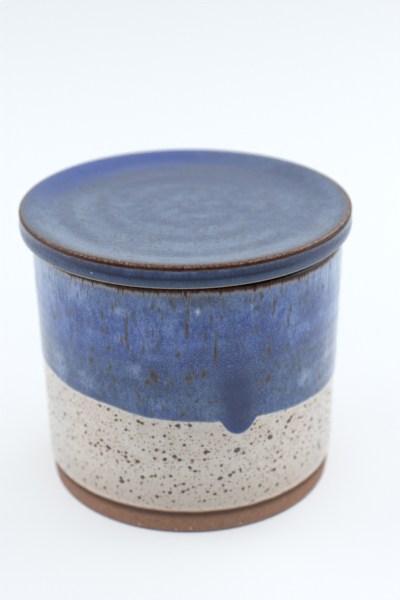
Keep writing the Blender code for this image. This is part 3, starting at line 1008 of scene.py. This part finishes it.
def blue_freckles(mat, colour, grain, grit, fleck, over, pool):
    """Crystals, olive freckles and iron marks. Also returns the marks' mask."""
    dots = mat.noise(2.9, detail=2, rough=0.6)
    crystals = dots.ease(0.53, 0.69, high=0.52) * (1.0 - pool * 0.75)
    colour = colour.cover(srgb(150, 172, 214), crystals)
    colour = colour.cover(srgb(38, 54, 98), dots.ease(0.47, 0.32, high=0.56))
    fray = grit * 0.40

    def freckles(large, small, small_strength):
        small = (small + fray).ease(-0.12, 0.14) * small_strength
        return (large + fray).ease(-0.14, 0.16).max(small)

    # round low down, drawn out above
    low_large, _ = mat.specks(mat.wall((7, 3), wobble=0.5, stretch=0.62),
                              cell=2.4, radii=(0.16, 0.66), power=1.3, share=0.86)
    low_small, _ = mat.specks(mat.wall((1, 9), wobble=0.4, stretch=0.66),
                              cell=1.45, radii=(0.10, 0.38), power=1.2, share=0.70)
    high_large, _ = mat.specks(mat.wall((4, 5), wobble=0.5, stretch=0.24),
                               cell=2.2, radii=(0.08, 0.42), power=1.6, share=0.62)
    high_small, _ = mat.specks(mat.wall((8, 1), wobble=0.4, stretch=0.30),
                               cell=1.35, radii=(0.06, 0.28), power=1.3, share=0.50)
    low = freckles(low_large, low_small, small_strength=0.75)
    high = freckles(high_large, high_small, small_strength=0.6)
    freckle = low * over + high * (1.0 - over)
    olive = mat.mix(srgb(62, 54, 50), srgb(90, 92, 88), fleck)
    colour = colour.cover(olive, freckle * 0.84 * (1.0 - pool * 0.86))
    # olive-brown iron marks
    ragged = mat.noise(1.9, detail=3, rough=0.7, stretch=(1, 1, 0.45))
    distance = mat.attribute("mark") + (ragged.sway(1.5) + grit * 0.5)
    inside = distance.ease(-0.30, 0.28)
    darkness = mat.attribute("mark_dark") * 0.38 + 0.56
    brown = mat.mix(srgb(88, 88, 90), srgb(56, 46, 44), distance.ease(0.0, 0.50))
    brown = brown.cover(srgb(110, 92, 70), grain.ease(0.50, 0.70, high=0.55))
    return colour.cover(brown, inside * darkness * (1.0 - pool * 0.6)), inside


def blue_rim(mat, colour, grain, grit, fleck, streak):
    """Rust-brown break along the rim, fraying into thin drips, with painted shade of the lid, very
    dark, at the top.
    Also returns the break's mask."""
    x = mat.x
    wide = mat.noise(0.35, detail=2, rough=0.5, stretch=(1, 1, 0.05))
    thin = mat.noise(1.5, detail=2, rough=0.55, stretch=(1, 1, 0.045))
    gaps = mat.noise(0.5, detail=2, rough=0.5, stretch=(1, 1, 0.05))
    drip = thin.ease(0.53, 0.72) * gaps.ease(0.38, 0.60) * 5.0
    level = (mat.z + mat.attribute("rim_dip") * 1.6) + (wide.sway(1.6) + fleck.sway(1.1))
    haze = (level + streak.sway(5.0)).ease(89.6, 93.0) * 0.60
    grey = mat.mix(srgb(80, 84, 88), srgb(106, 106, 98), fleck)
    colour = colour.cover(grey, haze, strength=0.8)
    # the break reaches lower towards the sides and less low in front
    level = level + (x.ease(-16.0, -38.0, high=0.50) + x.ease(24.0, 40.0, high=0.40))
    level = level - abs(x - 4.0).ease(18.0, 6.0) * 0.55
    frayed = level + (drip + grit * 2.2)
    halo = frayed.ease(90.9, 92.0) * frayed.ease(93.2, 92.7)
    colour = colour.cover(srgb(156, 162, 166), halo * x.ease(-8.0, -30.0, low=0.36, high=0.62))
    colour = colour.cover(srgb(108, 70, 46), frayed.ease(92.3, 92.8), strength=0.74)
    dark = (level + (drip * 0.45 + grit * 2.8)).ease(92.75, 93.15)
    brown = mat.mix(srgb(32, 15, 10), srgb(82, 46, 30), grain.ease(0.40, 0.62))
    colour = colour.cover(brown, dark, strength=0.92)
    # painted shade under the lid: very dark over the top of the rim
    painted_lid_shade = (level + (drip * 0.1 + grit * 0.9)).ease(93.70, 94.05)
    return colour.cover(srgb(10, 7, 7), painted_lid_shade), frayed.ease(92.3, 93.0)


def blue_glaze():
    mat = Surface("blue_glaze")
    grain = mat.noise(2.3, detail=3, rough=0.65, stretch=(1, 1, 0.75))
    fleck = mat.noise(1.15, detail=4, rough=0.62, stretch=(1, 1, 0.42))
    mid = mat.noise(0.30, detail=4, rough=0.6, stretch=(1, 1, 0.6))
    big = mat.noise(0.060, detail=3, rough=0.55, stretch=(1, 1, 0.9))
    streak = mat.noise(0.9, detail=4, rough=0.65, stretch=(1, 1, 0.06))
    grit = grain - 0.5
    colour, over = blue_ground(mat, grit + 0.5 if False else grain, fleck, mid, big, streak)
    colour, pool = blue_patches(mat, colour, grain, grit, fleck, mid)
    colour, inside = blue_freckles(mat, colour, grain, grit, fleck, over, pool)
    colour, fringe = blue_rim(mat, colour, grain, grit, fleck, streak)
    height = mid * 0.9 + (fleck * 0.35 + inside * -0.25)
    return mat.finish(colour, 0.15 + fleck * 0.14, height, depth=0.00010, ior=1.52,
                      sheen=(1.0 - fringe) * 0.90, specular=0.5 - fringe * 0.32)


# ---------------------------------------------------------------- cream glaze, clay
def cream_glaze(name, inner):
    """The cream coat. Outside it also carries the placed specks and its two edges."""
    mat = Surface(name)
    fine = mat.noise(2.4, detail=4, rough=0.65)
    mid = mat.noise(0.22, detail=4, rough=0.6)
    lines = mat.noise(0.9, detail=3, rough=0.6, stretch=(0.035, 0.035, 1.0))
    big = mat.noise(0.045, detail=2, rough=0.5)
    colour = mat.mix(srgb(216, 211, 204), srgb(203, 195, 185), mid.ease(0.35, 0.68))
    colour = colour.cover(srgb(200, 189, 177), lines.ease(0.42, 0.66), strength=0.28)
    colour = colour.cover(srgb(214, 204, 193), big.ease(0.35, 0.65, high=0.30))
    colour = colour.cover(srgb(186, 170, 152), fine.ease(0.50, 0.72, high=0.42))
    colour = colour.cover(srgb(226, 224, 220), fine.ease(0.48, 0.30, high=0.30))
    if not inner:
        # browner towards the foot; painted shade, cooler and greyer, round the two flanks seen from
        # the front
        foot = (mat.z + mid.sway(14.0)).ease(26.0, 10.0, high=0.62)
        colour = colour.cover(srgb(182, 168, 154), foot)
        painted_flank_shade = abs(mat.x).ease(33.0, 48.0) * mat.y.ease(10.0, -15.0)
        colour = colour.cover(srgb(190, 193, 192), painted_flank_shade, strength=0.55)
    # faint tan clouds where iron bleeds through
    clouds = mat.noise(0.9, detail=3, rough=0.6).ease(0.56, 0.76)
    colour = colour.cover(srgb(180, 158, 134), clouds, strength=0.30)

    spread = mat.flat if inner else mat.wall
    dust, _ = mat.specks(spread((11, 2), wobble=0.25),
                         cell=0.95, radii=(0.06, 0.19), power=1.2, share=0.50)
    tiny, tiny_pick = mat.specks(spread((3, 9), wobble=0.30),
                                 cell=1.7, radii=(0.12, 0.34), power=1.6, share=0.62)
    large, large_pick = mat.specks(spread((1, 5), wobble=0.45),
                                   cell=3.3, radii=(0.20, 0.58), power=1.4, share=0.52)
    rusty, rusty_pick = mat.specks(spread((17, 23), wobble=0.35),
                                   cell=1.35, radii=(0.08, 0.30), power=1.2, share=0.42)
    fray = fine.sway(0.55)
    colour = colour.cover(srgb(166, 108, 68), (dust + fray).ease(-0.06, 0.10), strength=0.70)
    orange = mat.mix(srgb(180, 108, 60), srgb(150, 96, 66), rusty_pick)
    colour = colour.cover(orange, (rusty + fray).ease(-0.10, 0.08), strength=0.80)
    rust = mat.mix(srgb(172, 100, 54), srgb(132, 80, 54), tiny_pick)
    colour = colour.cover(rust, (tiny + fray).ease(-0.10, 0.08), strength=0.85)
    colour = colour.cover(srgb(74, 58, 54), (tiny + fray).ease(0.06, 0.22), strength=0.80)
    # large specks: tan halo, brown ring, dark core, blue-grey middle
    speck = large + fray
    if not inner:
        speck = (mat.attribute("speck") + fray * 1.3).max(speck)
    colour = colour.cover(srgb(180, 136, 100), speck.ease(-0.34, -0.08), strength=0.40)
    brown = mat.mix(srgb(138, 82, 54), srgb(98, 68, 58), large_pick)
    colour = colour.cover(brown, speck.ease(-0.14, 0.02), strength=0.90)
    core = speck.ease(0.04, 0.18)
    dark = mat.mix(srgb(42, 42, 52), srgb(58, 68, 86), large_pick)
    dark = dark.cover(srgb(96, 110, 132), speck.ease(0.26, 0.62))
    colour = colour.cover(dark, core, strength=0.95)

    if inner:
        # brown break at the rim
        runs = mat.noise(0.9, detail=4, rough=0.65, stretch=(1, 1, 0.25))
        below = mat.attribute("from_rim") + runs.sway(3.4)
        colour = colour.cover(srgb(150, 116, 80), below.ease(3.4, 1.4), strength=0.7)
        colour = colour.cover(srgb(66, 44, 32), below.ease(1.8, 0.7))
    else:
        # a thin rusty line where the coat meets the clay, paler above it
        above = mat.attribute("above_edge") + fine.sway(0.5)
        colour = colour.cover(srgb(216, 214, 208), above.ease(2.4, 0.8), strength=0.60)
        colour = colour.cover(srgb(190, 132, 82), above.ease(1.15, 0.50), strength=0.90)
        # dark brown flashing and painted shade on the underside of the coat's rolled edge
        colour = colour.cover(srgb(84, 50, 36), above.ease(0.55, 0.12), strength=0.92)
        below = mat.attribute("below_dip").ease(1.6, 0.2)
        colour = colour.cover(srgb(218, 217, 212), below, strength=0.30)
    height = lines * 0.6 + (mid * 0.7 + core * -0.35)
    return mat.finish(colour, 0.20 + fine * 0.18, height, depth=0.00010, ior=1.5, specular=0.38)


def clay_body():
    mat = Surface("bare_stoneware")
    grain = mat.noise(3.0, detail=5, rough=0.75)
    mid = mat.noise(0.55, detail=4, rough=0.6)
    big = mat.noise(0.07, detail=2, rough=0.5)
    lines = mat.noise(1.4, detail=3, rough=0.6, stretch=(0.05, 0.05, 1.0))
    sand = mat.noise(2.0, detail=3, rough=0.7)
    colour = mat.mix(srgb(134, 100, 84), srgb(156, 120, 100), mid.ease(0.34, 0.68))
    colour = colour.cover(srgb(190, 134, 94), sand.ease(0.50, 0.66, high=0.80))
    colour = colour.cover(srgb(88, 60, 50), grain.ease(0.50, 0.28, high=0.70))
    colour = colour.cover(srgb(92, 66, 56), sand.ease(0.46, 0.30, high=0.60))
    colour = colour.cover(srgb(118, 88, 74), lines.ease(0.50, 0.70), strength=0.35)
    colour = colour.cover(srgb(150, 106, 78), big.ease(0.40, 0.64, high=0.30))
    dark, _ = mat.specks(mat.wall((2, 6), wobble=0.3),
                         cell=1.9, radii=(0.08, 0.36), power=1.6, share=0.5)
    colour = colour.cover(srgb(84, 62, 54), dark.ease(-0.08, 0.12), strength=0.70)
    light, _ = mat.specks(mat.wall((9, 1), wobble=0.3),
                          cell=4.6, radii=(0.10, 0.42), power=1.6, share=0.4)
    colour = colour.cover(srgb(206, 180, 150), light.ease(-0.06, 0.10), strength=0.85)
    # darker just under the glaze, on the foot only: dark flashing of the clay and painted shade under
    # the glaze's edge
    near = (mat.z + (mid.sway(2.2) + sand.sway(1.6))).ease(5.6, 8.4)
    near = near * mat.math("LESS_THAN", mat.z, 14.0)
    colour = colour.cover(srgb(62, 41, 34), near, strength=0.78)
    # painted contact shade: the foot's bottom edge turns dark blue-grey where it meets the floor
    wear_and_contact_shade = (mat.z + grain.sway(0.6)).ease(1.50, 0.45)
    wear_and_contact_shade = wear_and_contact_shade * mat.math("GREATER_THAN", mat.radius(), 48.6)
    colour = colour.cover(srgb(80, 100, 124), wear_and_contact_shade, strength=0.90)
    height = grain * 0.8 + (mid * 0.7 + lines * 0.5)
    return mat.finish(colour, 0.66 + grain * 0.25, height, depth=0.00022, ior=1.45)


# ------------------------------------------------------------------------ lid glaze
def lid_top_colour(mat, grit, mid, big, coarse, radius):
    x, y = mat.x, mat.y
    milk = (grit * 0.55 + mid.sway(0.9)) + big.sway(0.9) + coarse.sway(0.45)
    top = mat.mix(srgb(80, 101, 139), srgb(125, 146, 175), milk.ease(-0.31, 0.31))
    # painted reflection: paler and greyer towards the front
    near = (y + mid.sway(12.0)).ease(-6.0, -52.0)
    top = top.cover(srgb(160, 177, 192), near, strength=0.40)
    # finger rings hold a little more glaze
    wave = ((radius + big.sway(9.0)) * (TAU / DISH_PITCH)).sine()
    rings = wave.ease(-0.6, 0.9, high=0.46) * big.ease(0.38, 0.58)
    top = top.cover(srgb(72, 90, 128), rings)
    # darker at the back, then violet-blue where it pooled towards the back and left
    slant = y * 0.016 + x * -0.008
    violet = (slant + (mid.sway(0.9) + radius.ease(36.0, 50.0) * 0.35)).ease(0.62, 1.15)
    back = (y + (mid.sway(14.0) + x.ease(22.0, 44.0, high=6.0))).ease(5.0, 32.0)
    top = top.cover(srgb(62, 82, 126), back * radius.ease(51.0, 42.0, low=0.25, high=0.84))
    top = top.cover(srgb(60, 92, 172), violet * x.ease(14.0, -6.0, low=0.50, high=0.80))
    drift = mat.noise(0.13, detail=3, rough=0.6).ease(0.56, 0.74)
    top = top.cover(srgb(84, 102, 168), drift, strength=0.30)
    # olive freckles, large and small, then soft violet ones
    large, pick = mat.specks(mat.flat((5, 2), wobble=0.6),
                             cell=3.0, radii=(0.15, 0.70), power=1.3, share=0.60)
    olive = mat.mix(srgb(84, 86, 88), srgb(104, 96, 80), pick)
    top = top.cover(olive, (large + grit * 0.8).ease(-0.15, 0.20), strength=0.66)
    small, _ = mat.specks(mat.flat((2, 8), wobble=0.4),
                          cell=1.6, radii=(0.08, 0.40), power=1.2, share=0.60)
    top = top.cover(srgb(80, 78, 74), (small + grit * 0.6).ease(-0.10, 0.10), strength=0.72)
    soft, _ = mat.specks(mat.flat((15, 7), wobble=0.6),
                         cell=3.4, radii=(0.10, 0.6), power=1.3, share=0.35)
    return top.cover(srgb(104, 122, 186), soft.ease(-0.2, 0.25), strength=0.30)


def lid_side_colour(mat, fine, grit, mid, runs, above):
    x = mat.x
    tone = (runs * 0.35 + (mid * 0.4 + fine * 0.25)).ease(0.40, 0.62)
    side = mat.mix(srgb(20, 42, 84), srgb(46, 76, 124), tone)
    low = mat.mix(srgb(44, 60, 86), srgb(80, 98, 122), fine)
    side = side.cover(low, above.ease(2.9, 0.6), strength=0.80)
    # above its waist the coat is deep except straight in front; the deep part climbs to the left
    climb = (above + runs.sway(1.4)) - x.ease(-16.0, -40.0, high=0.9)
    line = climb.ease(2.3, 2.9) * climb.ease(4.2, 3.2)
    side = side.cover(srgb(20, 26, 48), line * mat.y.ease(-36.0, -50.0, low=0.10, high=0.85))
    deep = abs(x + 4.0).ease(12.0, 22.0) * climb.ease(2.4, 3.2) * abs(x).ease(55.0, 46.0)
    side = side.cover(srgb(10, 26, 66), deep * mid.ease(0.38, 0.60, low=0.30, high=0.80))
    # dark blots, two of them placed
    blots, _ = mat.specks(mat.wall((3, 3), wobble=0.6),
                          cell=9.0, radii=(0.3, 1.2), power=1.0, share=0.35)
    placed = mat.spot((-21.0, -53.4, 100.5), radius=1.0)
    blots = blots.max(placed.max(mat.spot((22.2, -52.6, 99.8), radius=1.3)))
    side = side.cover(srgb(22, 34, 88), (blots + grit * 0.6).ease(-0.3, 0.4), strength=0.65)
    # one dark pit with a pale border
    pit = mat.spot((-30.3, -49.2, 97.5), radius=0.0) + grit * 0.15
    side = side.cover(srgb(190, 192, 188), pit.ease(-0.62, -0.38), strength=0.75)
    return side.cover(srgb(40, 36, 38), pit.ease(-0.30, -0.14))


def lid_rust(mat, fine, grit, runs, coarse):
    """Colour of the break over the lip: dark rust, tan on the crest, with a painted highlight and
    fine painted sparkles.
    """
    z = mat.z
    tone = (fine * 0.6 + runs * 0.4).ease(0.43, 0.58)
    rust = mat.mix(srgb(34, 11, 5), srgb(88, 40, 20), tone)
    wear_and_contact_shade = mat.noise(1.9, detail=3, rough=0.7).ease(0.44, 0.60)
    tan = mat.mix(srgb(72, 40, 29), srgb(150, 116, 99), wear_and_contact_shade)
    rust = rust.cover(tan, (z + grit * 0.5).ease(TOP_Z - 0.55, TOP_Z - 0.25))
    # painted highlight along the crest
    painted_crest_highlight = z.ease(TOP_Z - 0.62, TOP_Z - 0.40) * z.ease(TOP_Z - 0.12, TOP_Z - 0.26)
    painted_crest_highlight = painted_crest_highlight * coarse.ease(0.46, 0.64)
    rust = rust.cover(srgb(190, 168, 164), painted_crest_highlight, strength=0.40)
    # painted sparkles of light on the crest
    painted_glints, _ = mat.specks(mat.wall((6, 6), wobble=0.3),
                           cell=1.5, radii=(0.04, 0.20), power=1.0, share=0.5)
    painted_glints = painted_glints.ease(-0.05, 0.05) * z.ease(TOP_Z - 0.6, TOP_Z - 0.2)
    return rust.cover(srgb(226, 222, 220), painted_glints)


def lid_lip(mat, colour, fine, grit, mid, big, runs, coarse, radius):
    """Rust-brown break over the lip and its fringes. Also returns the break's mask."""
    x, y, z = mat.x, mat.y, mat.z
    # it fades to blue round the back
    front = (y + big.sway(30.0)).ease(26.0, 2.0)
    # from the lid's own centre; narrow on the left and broad in front
    own_radius = mat.radius(mat.vector("ADD", mat.place, (-LID_SHIFT_X, 0, 0)))
    inset = x.ease(-54.0, -20.0, low=-0.8, high=0.15) + x.ease(10.0, 50.0, high=-0.25)
    lip_r = (own_radius + inset) + (runs.sway(1.2) + grit * 0.8)
    lip_in = lip_r.ease(CREST_R - 0.35, CREST_R + 0.05)
    # olive fringe and tan rind where the glaze starts to thin
    olive = (lip_r + mid.sway(2.0)).ease(CREST_R - 2.6, CREST_R - 0.6) * y.ease(40.0, 10.0)
    fringed = colour.cover(srgb(112, 110, 92), olive, strength=0.42)
    rind = lip_r.ease(CREST_R - 0.75, CREST_R - 0.35) * y.ease(40.0, 10.0)
    fringed = fringed.cover(srgb(146, 100, 66), rind, strength=0.60)
    colour = colour.cover(fringed, z.ease(WIDEST_Z - 0.5, WIDEST_Z + 0.4))
    level = z + (runs.sway(1.0) + (grit * 0.5 + mid.sway(0.8)))
    level = level + x.ease(36.0, 48.0, high=0.40)
    lip_out = level.ease(WIDEST_Z - 0.35, WIDEST_Z + 0.05)
    lip = lip_in * lip_out * (front * 0.78 + 0.2)
    rust = lid_rust(mat, fine, grit, runs, coarse)
    # pale blue, then olive, where the side begins
    pale = level.ease(WIDEST_Z - 1.3, WIDEST_Z - 0.6) * level.ease(WIDEST_Z + 0.1, WIDEST_Z - 0.3)
    pale = pale * radius.ease(CREST_R, CREST_R + 0.8) * mid.ease(0.42, 0.60, high=0.38)
    colour = colour.cover(srgb(104, 126, 160), pale)
    under = level.ease(WIDEST_Z - 0.9, WIDEST_Z - 0.4) * radius.ease(CREST_R, CREST_R + 0.8)
    under = under * runs.ease(0.46, 0.60, high=0.5)
    colour = colour.cover(srgb(112, 108, 88), under * front)
    return colour.cover(rust, lip, strength=0.97), lip


def lid_blue_glaze():
    mat = Surface("lid_blue_glaze")
    fine = mat.noise(2.4, detail=4, rough=0.65)
    mid = mat.noise(0.26, detail=4, rough=0.6)
    big = mat.noise(0.040, detail=3, rough=0.55)
    runs = mat.noise(0.9, detail=4, rough=0.62, stretch=(1, 1, 0.25))
    coarse = mat.noise(0.95, detail=3, rough=0.6)
    radius = mat.radius()
    grit = fine - 0.5
    above = mat.attribute("above_arris")
    top = lid_top_colour(mat, grit, mid, big, coarse, radius)
    side = lid_side_colour(mat, fine, grit, mid, runs, above)
    is_side = radius.ease(CREST_R - 0.2, CREST_R + 0.5) * mat.z.ease(TOP_Z - 0.5, TOP_Z - 1.3)
    colour = mat.mix(top, side, is_side)
    colour, lip = lid_lip(mat, colour, fine, grit, mid, big, runs, coarse, radius)
    # bare tan line on the sharp lower arris, painted shade beneath it
    arris = (above + runs.sway(0.3)).ease(0.42, 0.14)
    colour = colour.cover(srgb(158, 154, 146), arris, strength=0.85)
    colour = colour.cover(srgb(40, 30, 27), above.ease(-0.02, -0.08))
    rough = (0.22 + fine * 0.12) - lip * 0.14
    height = mid * 0.9 + (fine * 0.35 + lip * fine * 0.8)
    specular = 0.5 - lip * mat.z.ease(TOP_Z - 0.15, TOP_Z - 0.7) * 0.40
    return mat.finish(colour, rough, height, depth=0.00010, ior=1.55,
                      sheen=is_side * (1.0 - lip) * 0.58, specular=specular)


# -------------------------------------------------------------------------- stage
# Floor as the camera sees it: brightness far behind the jar and just in front of it.
FAR_SEEN, NEAR_SEEN = 0.86, 1.06
# Floor as it lights the jar: the sweep in front and behind, the table in front and behind.
FRONT_WALL, BACK_WALL = 0.45, 1.15
FRONT_TABLE, BACK_TABLE = 0.42, 1.25
GLOW, GLOW_SHARE = 1.05, 0.52         # the paper's own light, and its share of the surface
FLOOR_DROP = 0.0001                   # metres below the jar's foot
FLOOR_SIDES = 96
# Floor profile: (radius m, height m), after a centre point.
FLOOR_PROFILE = [(0.4, 0.0), (1.0, 0.0), (2.0, 0.0), (2.6, 0.03), (3.1, 0.16), (3.5, 0.42),
                 (3.8, 0.8), (4.0, 1.4), (4.1, 2.2)]
# Brightness of the room: low behind the jar, overhead, in front, and as the camera sees it.
BACK_LOW, OVERHEAD, FRONT_SKY, SKY_SEEN = 0.95, 0.66, 0.72, 0.93
# Square area lights: (name, place m, side m, power W).
LIGHTS = [("window_back_right", (0.75, 0.75, 0.95), 0.7, 3.5),
          ("side_left", (-1.3, 0.15, 0.45), 0.8, 7.0),
          ("side_right", (1.3, 0.15, 0.45), 0.8, 7.0)]
LIGHT_TARGET = (0, 0, 0.05)


def floor_material():
    """White paper. Part of its brightness is its own, so that the jar's shadow stays soft."""
    material = bpy.data.materials.new("studio_floor")
    material.use_nodes = True
    tree = material.node_tree
    graph = Graph(tree)
    paper = tree.nodes["Principled BSDF"]
    paper.inputs["Base Color"].default_value = (0.88, 0.915, 0.945, 1)
    paper.inputs["Roughness"].default_value = 0.9
    paper.inputs["Specular IOR Level"].default_value = 0.1
    place = graph.field("NewGeometry", {}, "Position")
    _, y, z = graph.split("SeparateXYZ", place)
    seen = y.ease(0.15, 0.80, low=1.0, high=FAR_SEEN) * y.ease(-0.06, 0.12, low=NEAR_SEEN)
    rise = z.ease(0.0, 0.25)
    sweep = y.ease(-3.0, 0.5, low=FRONT_WALL, high=BACK_WALL)
    sweep = sweep * z.ease(0.5, 1.6, low=1.0, high=0.72)
    table = y.ease(-0.32, -0.04, low=FRONT_TABLE, high=BACK_TABLE)
    lit = rise * sweep + (1.0 - rise) * table
    camera_ray = graph.is_camera_ray()
    strength = (seen * camera_ray + lit * (1.0 - camera_ray)) * GLOW
    glow = graph.field("Emission", {"Color": (0.925, 0.952, 0.972, 1), "Strength": strength})
    inputs = {0: GLOW_SHARE, 1: Field(graph, paper.outputs[0]), 2: glow}
    output = next(node for node in tree.nodes if node.type == "OUTPUT_MATERIAL")
    graph.put(output.inputs["Surface"], graph.field("MixShader", inputs))
    return material


def make_floor():
    """A level floor that curves up all round, far from the jar."""
    sides = range(FLOOR_SIDES)
    verts = [(0, 0, -FLOOR_DROP)]
    for radius, z in FLOOR_PROFILE:
        for i in sides:
            angle = TAU * i / FLOOR_SIDES
            verts.append((radius * math.cos(angle), radius * math.sin(angle), z - FLOOR_DROP))
    starts = [1 + FLOOR_SIDES * k for k in range(len(FLOOR_PROFILE))]
    faces = [(0, 1 + i, 1 + (i + 1) % FLOOR_SIDES) for i in sides]
    for low, high in zip(starts, starts[1:]):
        for i in sides:
            after = (i + 1) % FLOOR_SIDES
            faces.append((low + i, high + i, high + after, low + after))
    mesh = bpy.data.meshes.new("studio_floor")
    mesh.from_pydata(verts, [], faces)
    mesh.shade_smooth()
    floor = bpy.data.objects.new("studio_floor", mesh)
    bpy.context.scene.collection.objects.link(floor)
    mesh.materials.append(floor_material())


def make_world():
    """A white room: bright and low behind the jar, dimmer overhead and in front."""
    world = bpy.data.worlds.new("studio")
    bpy.context.scene.world = world
    world.use_nodes = True
    graph = Graph(world.node_tree)
    direction = graph.field("TexCoord", {}, "Generated")
    _, y, z = graph.split("SeparateXYZ", direction)
    behind = z.ease(0.34, 0.80, low=BACK_LOW, high=OVERHEAD)
    level = y.ease(-0.8, 0.3, low=FRONT_SKY, high=behind)
    background = world.node_tree.nodes["Background"]
    inputs = {0: graph.is_camera_ray(), 2: level, 3: SKY_SEEN}
    graph.put(background.inputs["Strength"], graph.field("Mix", inputs))
    background.inputs["Color"].default_value = (0.955, 0.98, 1.0, 1)


def make_light(name, place, side, power):
    light = bpy.data.lights.new(name, "AREA")
    light.shape = "RECTANGLE"
    light.size = light.size_y = side
    light.energy = power
    light.color = (1, 1, 1)
    lamp = bpy.data.objects.new(name, light)
    lamp.location = place
    lamp.rotation_mode = "QUATERNION"
    lamp.rotation_quaternion = (Vector(LIGHT_TARGET) - Vector(place)).to_track_quat("-Z", "Y")
    lamp.visible_camera = False
    bpy.context.scene.collection.objects.link(lamp)


# ------------------------------------------------------------------------- camera
ELEVATION, YAW, ROLL = 0.4435, 0.0087, -0.0134   # radians
DISTANCE, AIM_Z = 8.3545, 1.1298                 # in lid radii
LENS, SENSOR = 80.4, 36.0                        # mm
FOCUS_PLACE = (0, -0.055, 0.082)                 # metres
F_STOP = 8.5


def make_camera():
    """Looks down on the jar from the front, turned and rolled a little."""
    scene = bpy.context.scene
    cos_up, sin_up = math.cos(ELEVATION), math.sin(ELEVATION)
    place = Vector((0, -DISTANCE * cos_up, AIM_Z + DISTANCE * sin_up)) * (LID_R * MM)
    ahead, right = Vector((0, cos_up, -sin_up)), Vector((1, 0, 0))
    up = right.cross(ahead)
    ahead, right = (ahead * math.cos(YAW) + right * math.sin(YAW),
                    right * math.cos(YAW) - ahead * math.sin(YAW))
    right, up = (right * math.cos(ROLL) + up * math.sin(ROLL),
                 up * math.cos(ROLL) - right * math.sin(ROLL))
    data = bpy.data.cameras.new("camera")
    data.sensor_width = SENSOR
    data.lens = LENS
    data.clip_start, data.clip_end = 0.01, 50
    camera = bpy.data.objects.new("camera", data)
    scene.collection.objects.link(camera)
    rows = zip(right, up, -ahead, place)
    camera.matrix_world = Matrix((*(tuple(row) for row in rows), (0, 0, 0, 1)))
    focus = bpy.data.objects.new("focus_point", None)
    focus.location = FOCUS_PLACE
    scene.collection.objects.link(focus)
    data.dof.use_dof = True
    data.dof.focus_object = focus
    data.dof.aperture_fstop = F_STOP
    scene.camera = camera
    scene.view_settings.view_transform = "Standard"
    scene.view_settings.look = "None"


# ----------------------------------------------------------------------- assembly
pot_clay, cream, blue, liner = make_pot_clay(), make_cream(), make_blue(), make_liner()
lid_clay, lid_glaze, lid_under = make_lid_clay(), make_lid_glaze(), make_lid_under()

blue_mat = blue_glaze()
cream_mat = cream_glaze("cream_glaze", inner=False)
clay_mat = clay_body()
lid_mat = lid_blue_glaze()
inner_mat = cream_glaze("inner_cream_glaze", inner=True)

for piece, material, body, slot in (
        (pot_clay, clay_mat, "pot", "bare_stoneware"), (cream, cream_mat, "pot", "cream_glaze"),
        (blue, blue_mat, "pot", "pot_glaze"), (liner, inner_mat, "pot", "cream_glaze"),
        (lid_clay, clay_mat, "lid", "bare_stoneware"), (lid_glaze, lid_mat, "lid", "lid_glaze"),
        (lid_under, inner_mat, "lid", "cream_glaze")):
    piece.data.materials.append(material)
    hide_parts(body)
    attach(piece, body)

make_floor()
make_world()
for light_row in LIGHTS:
    make_light(*light_row)
make_camera()
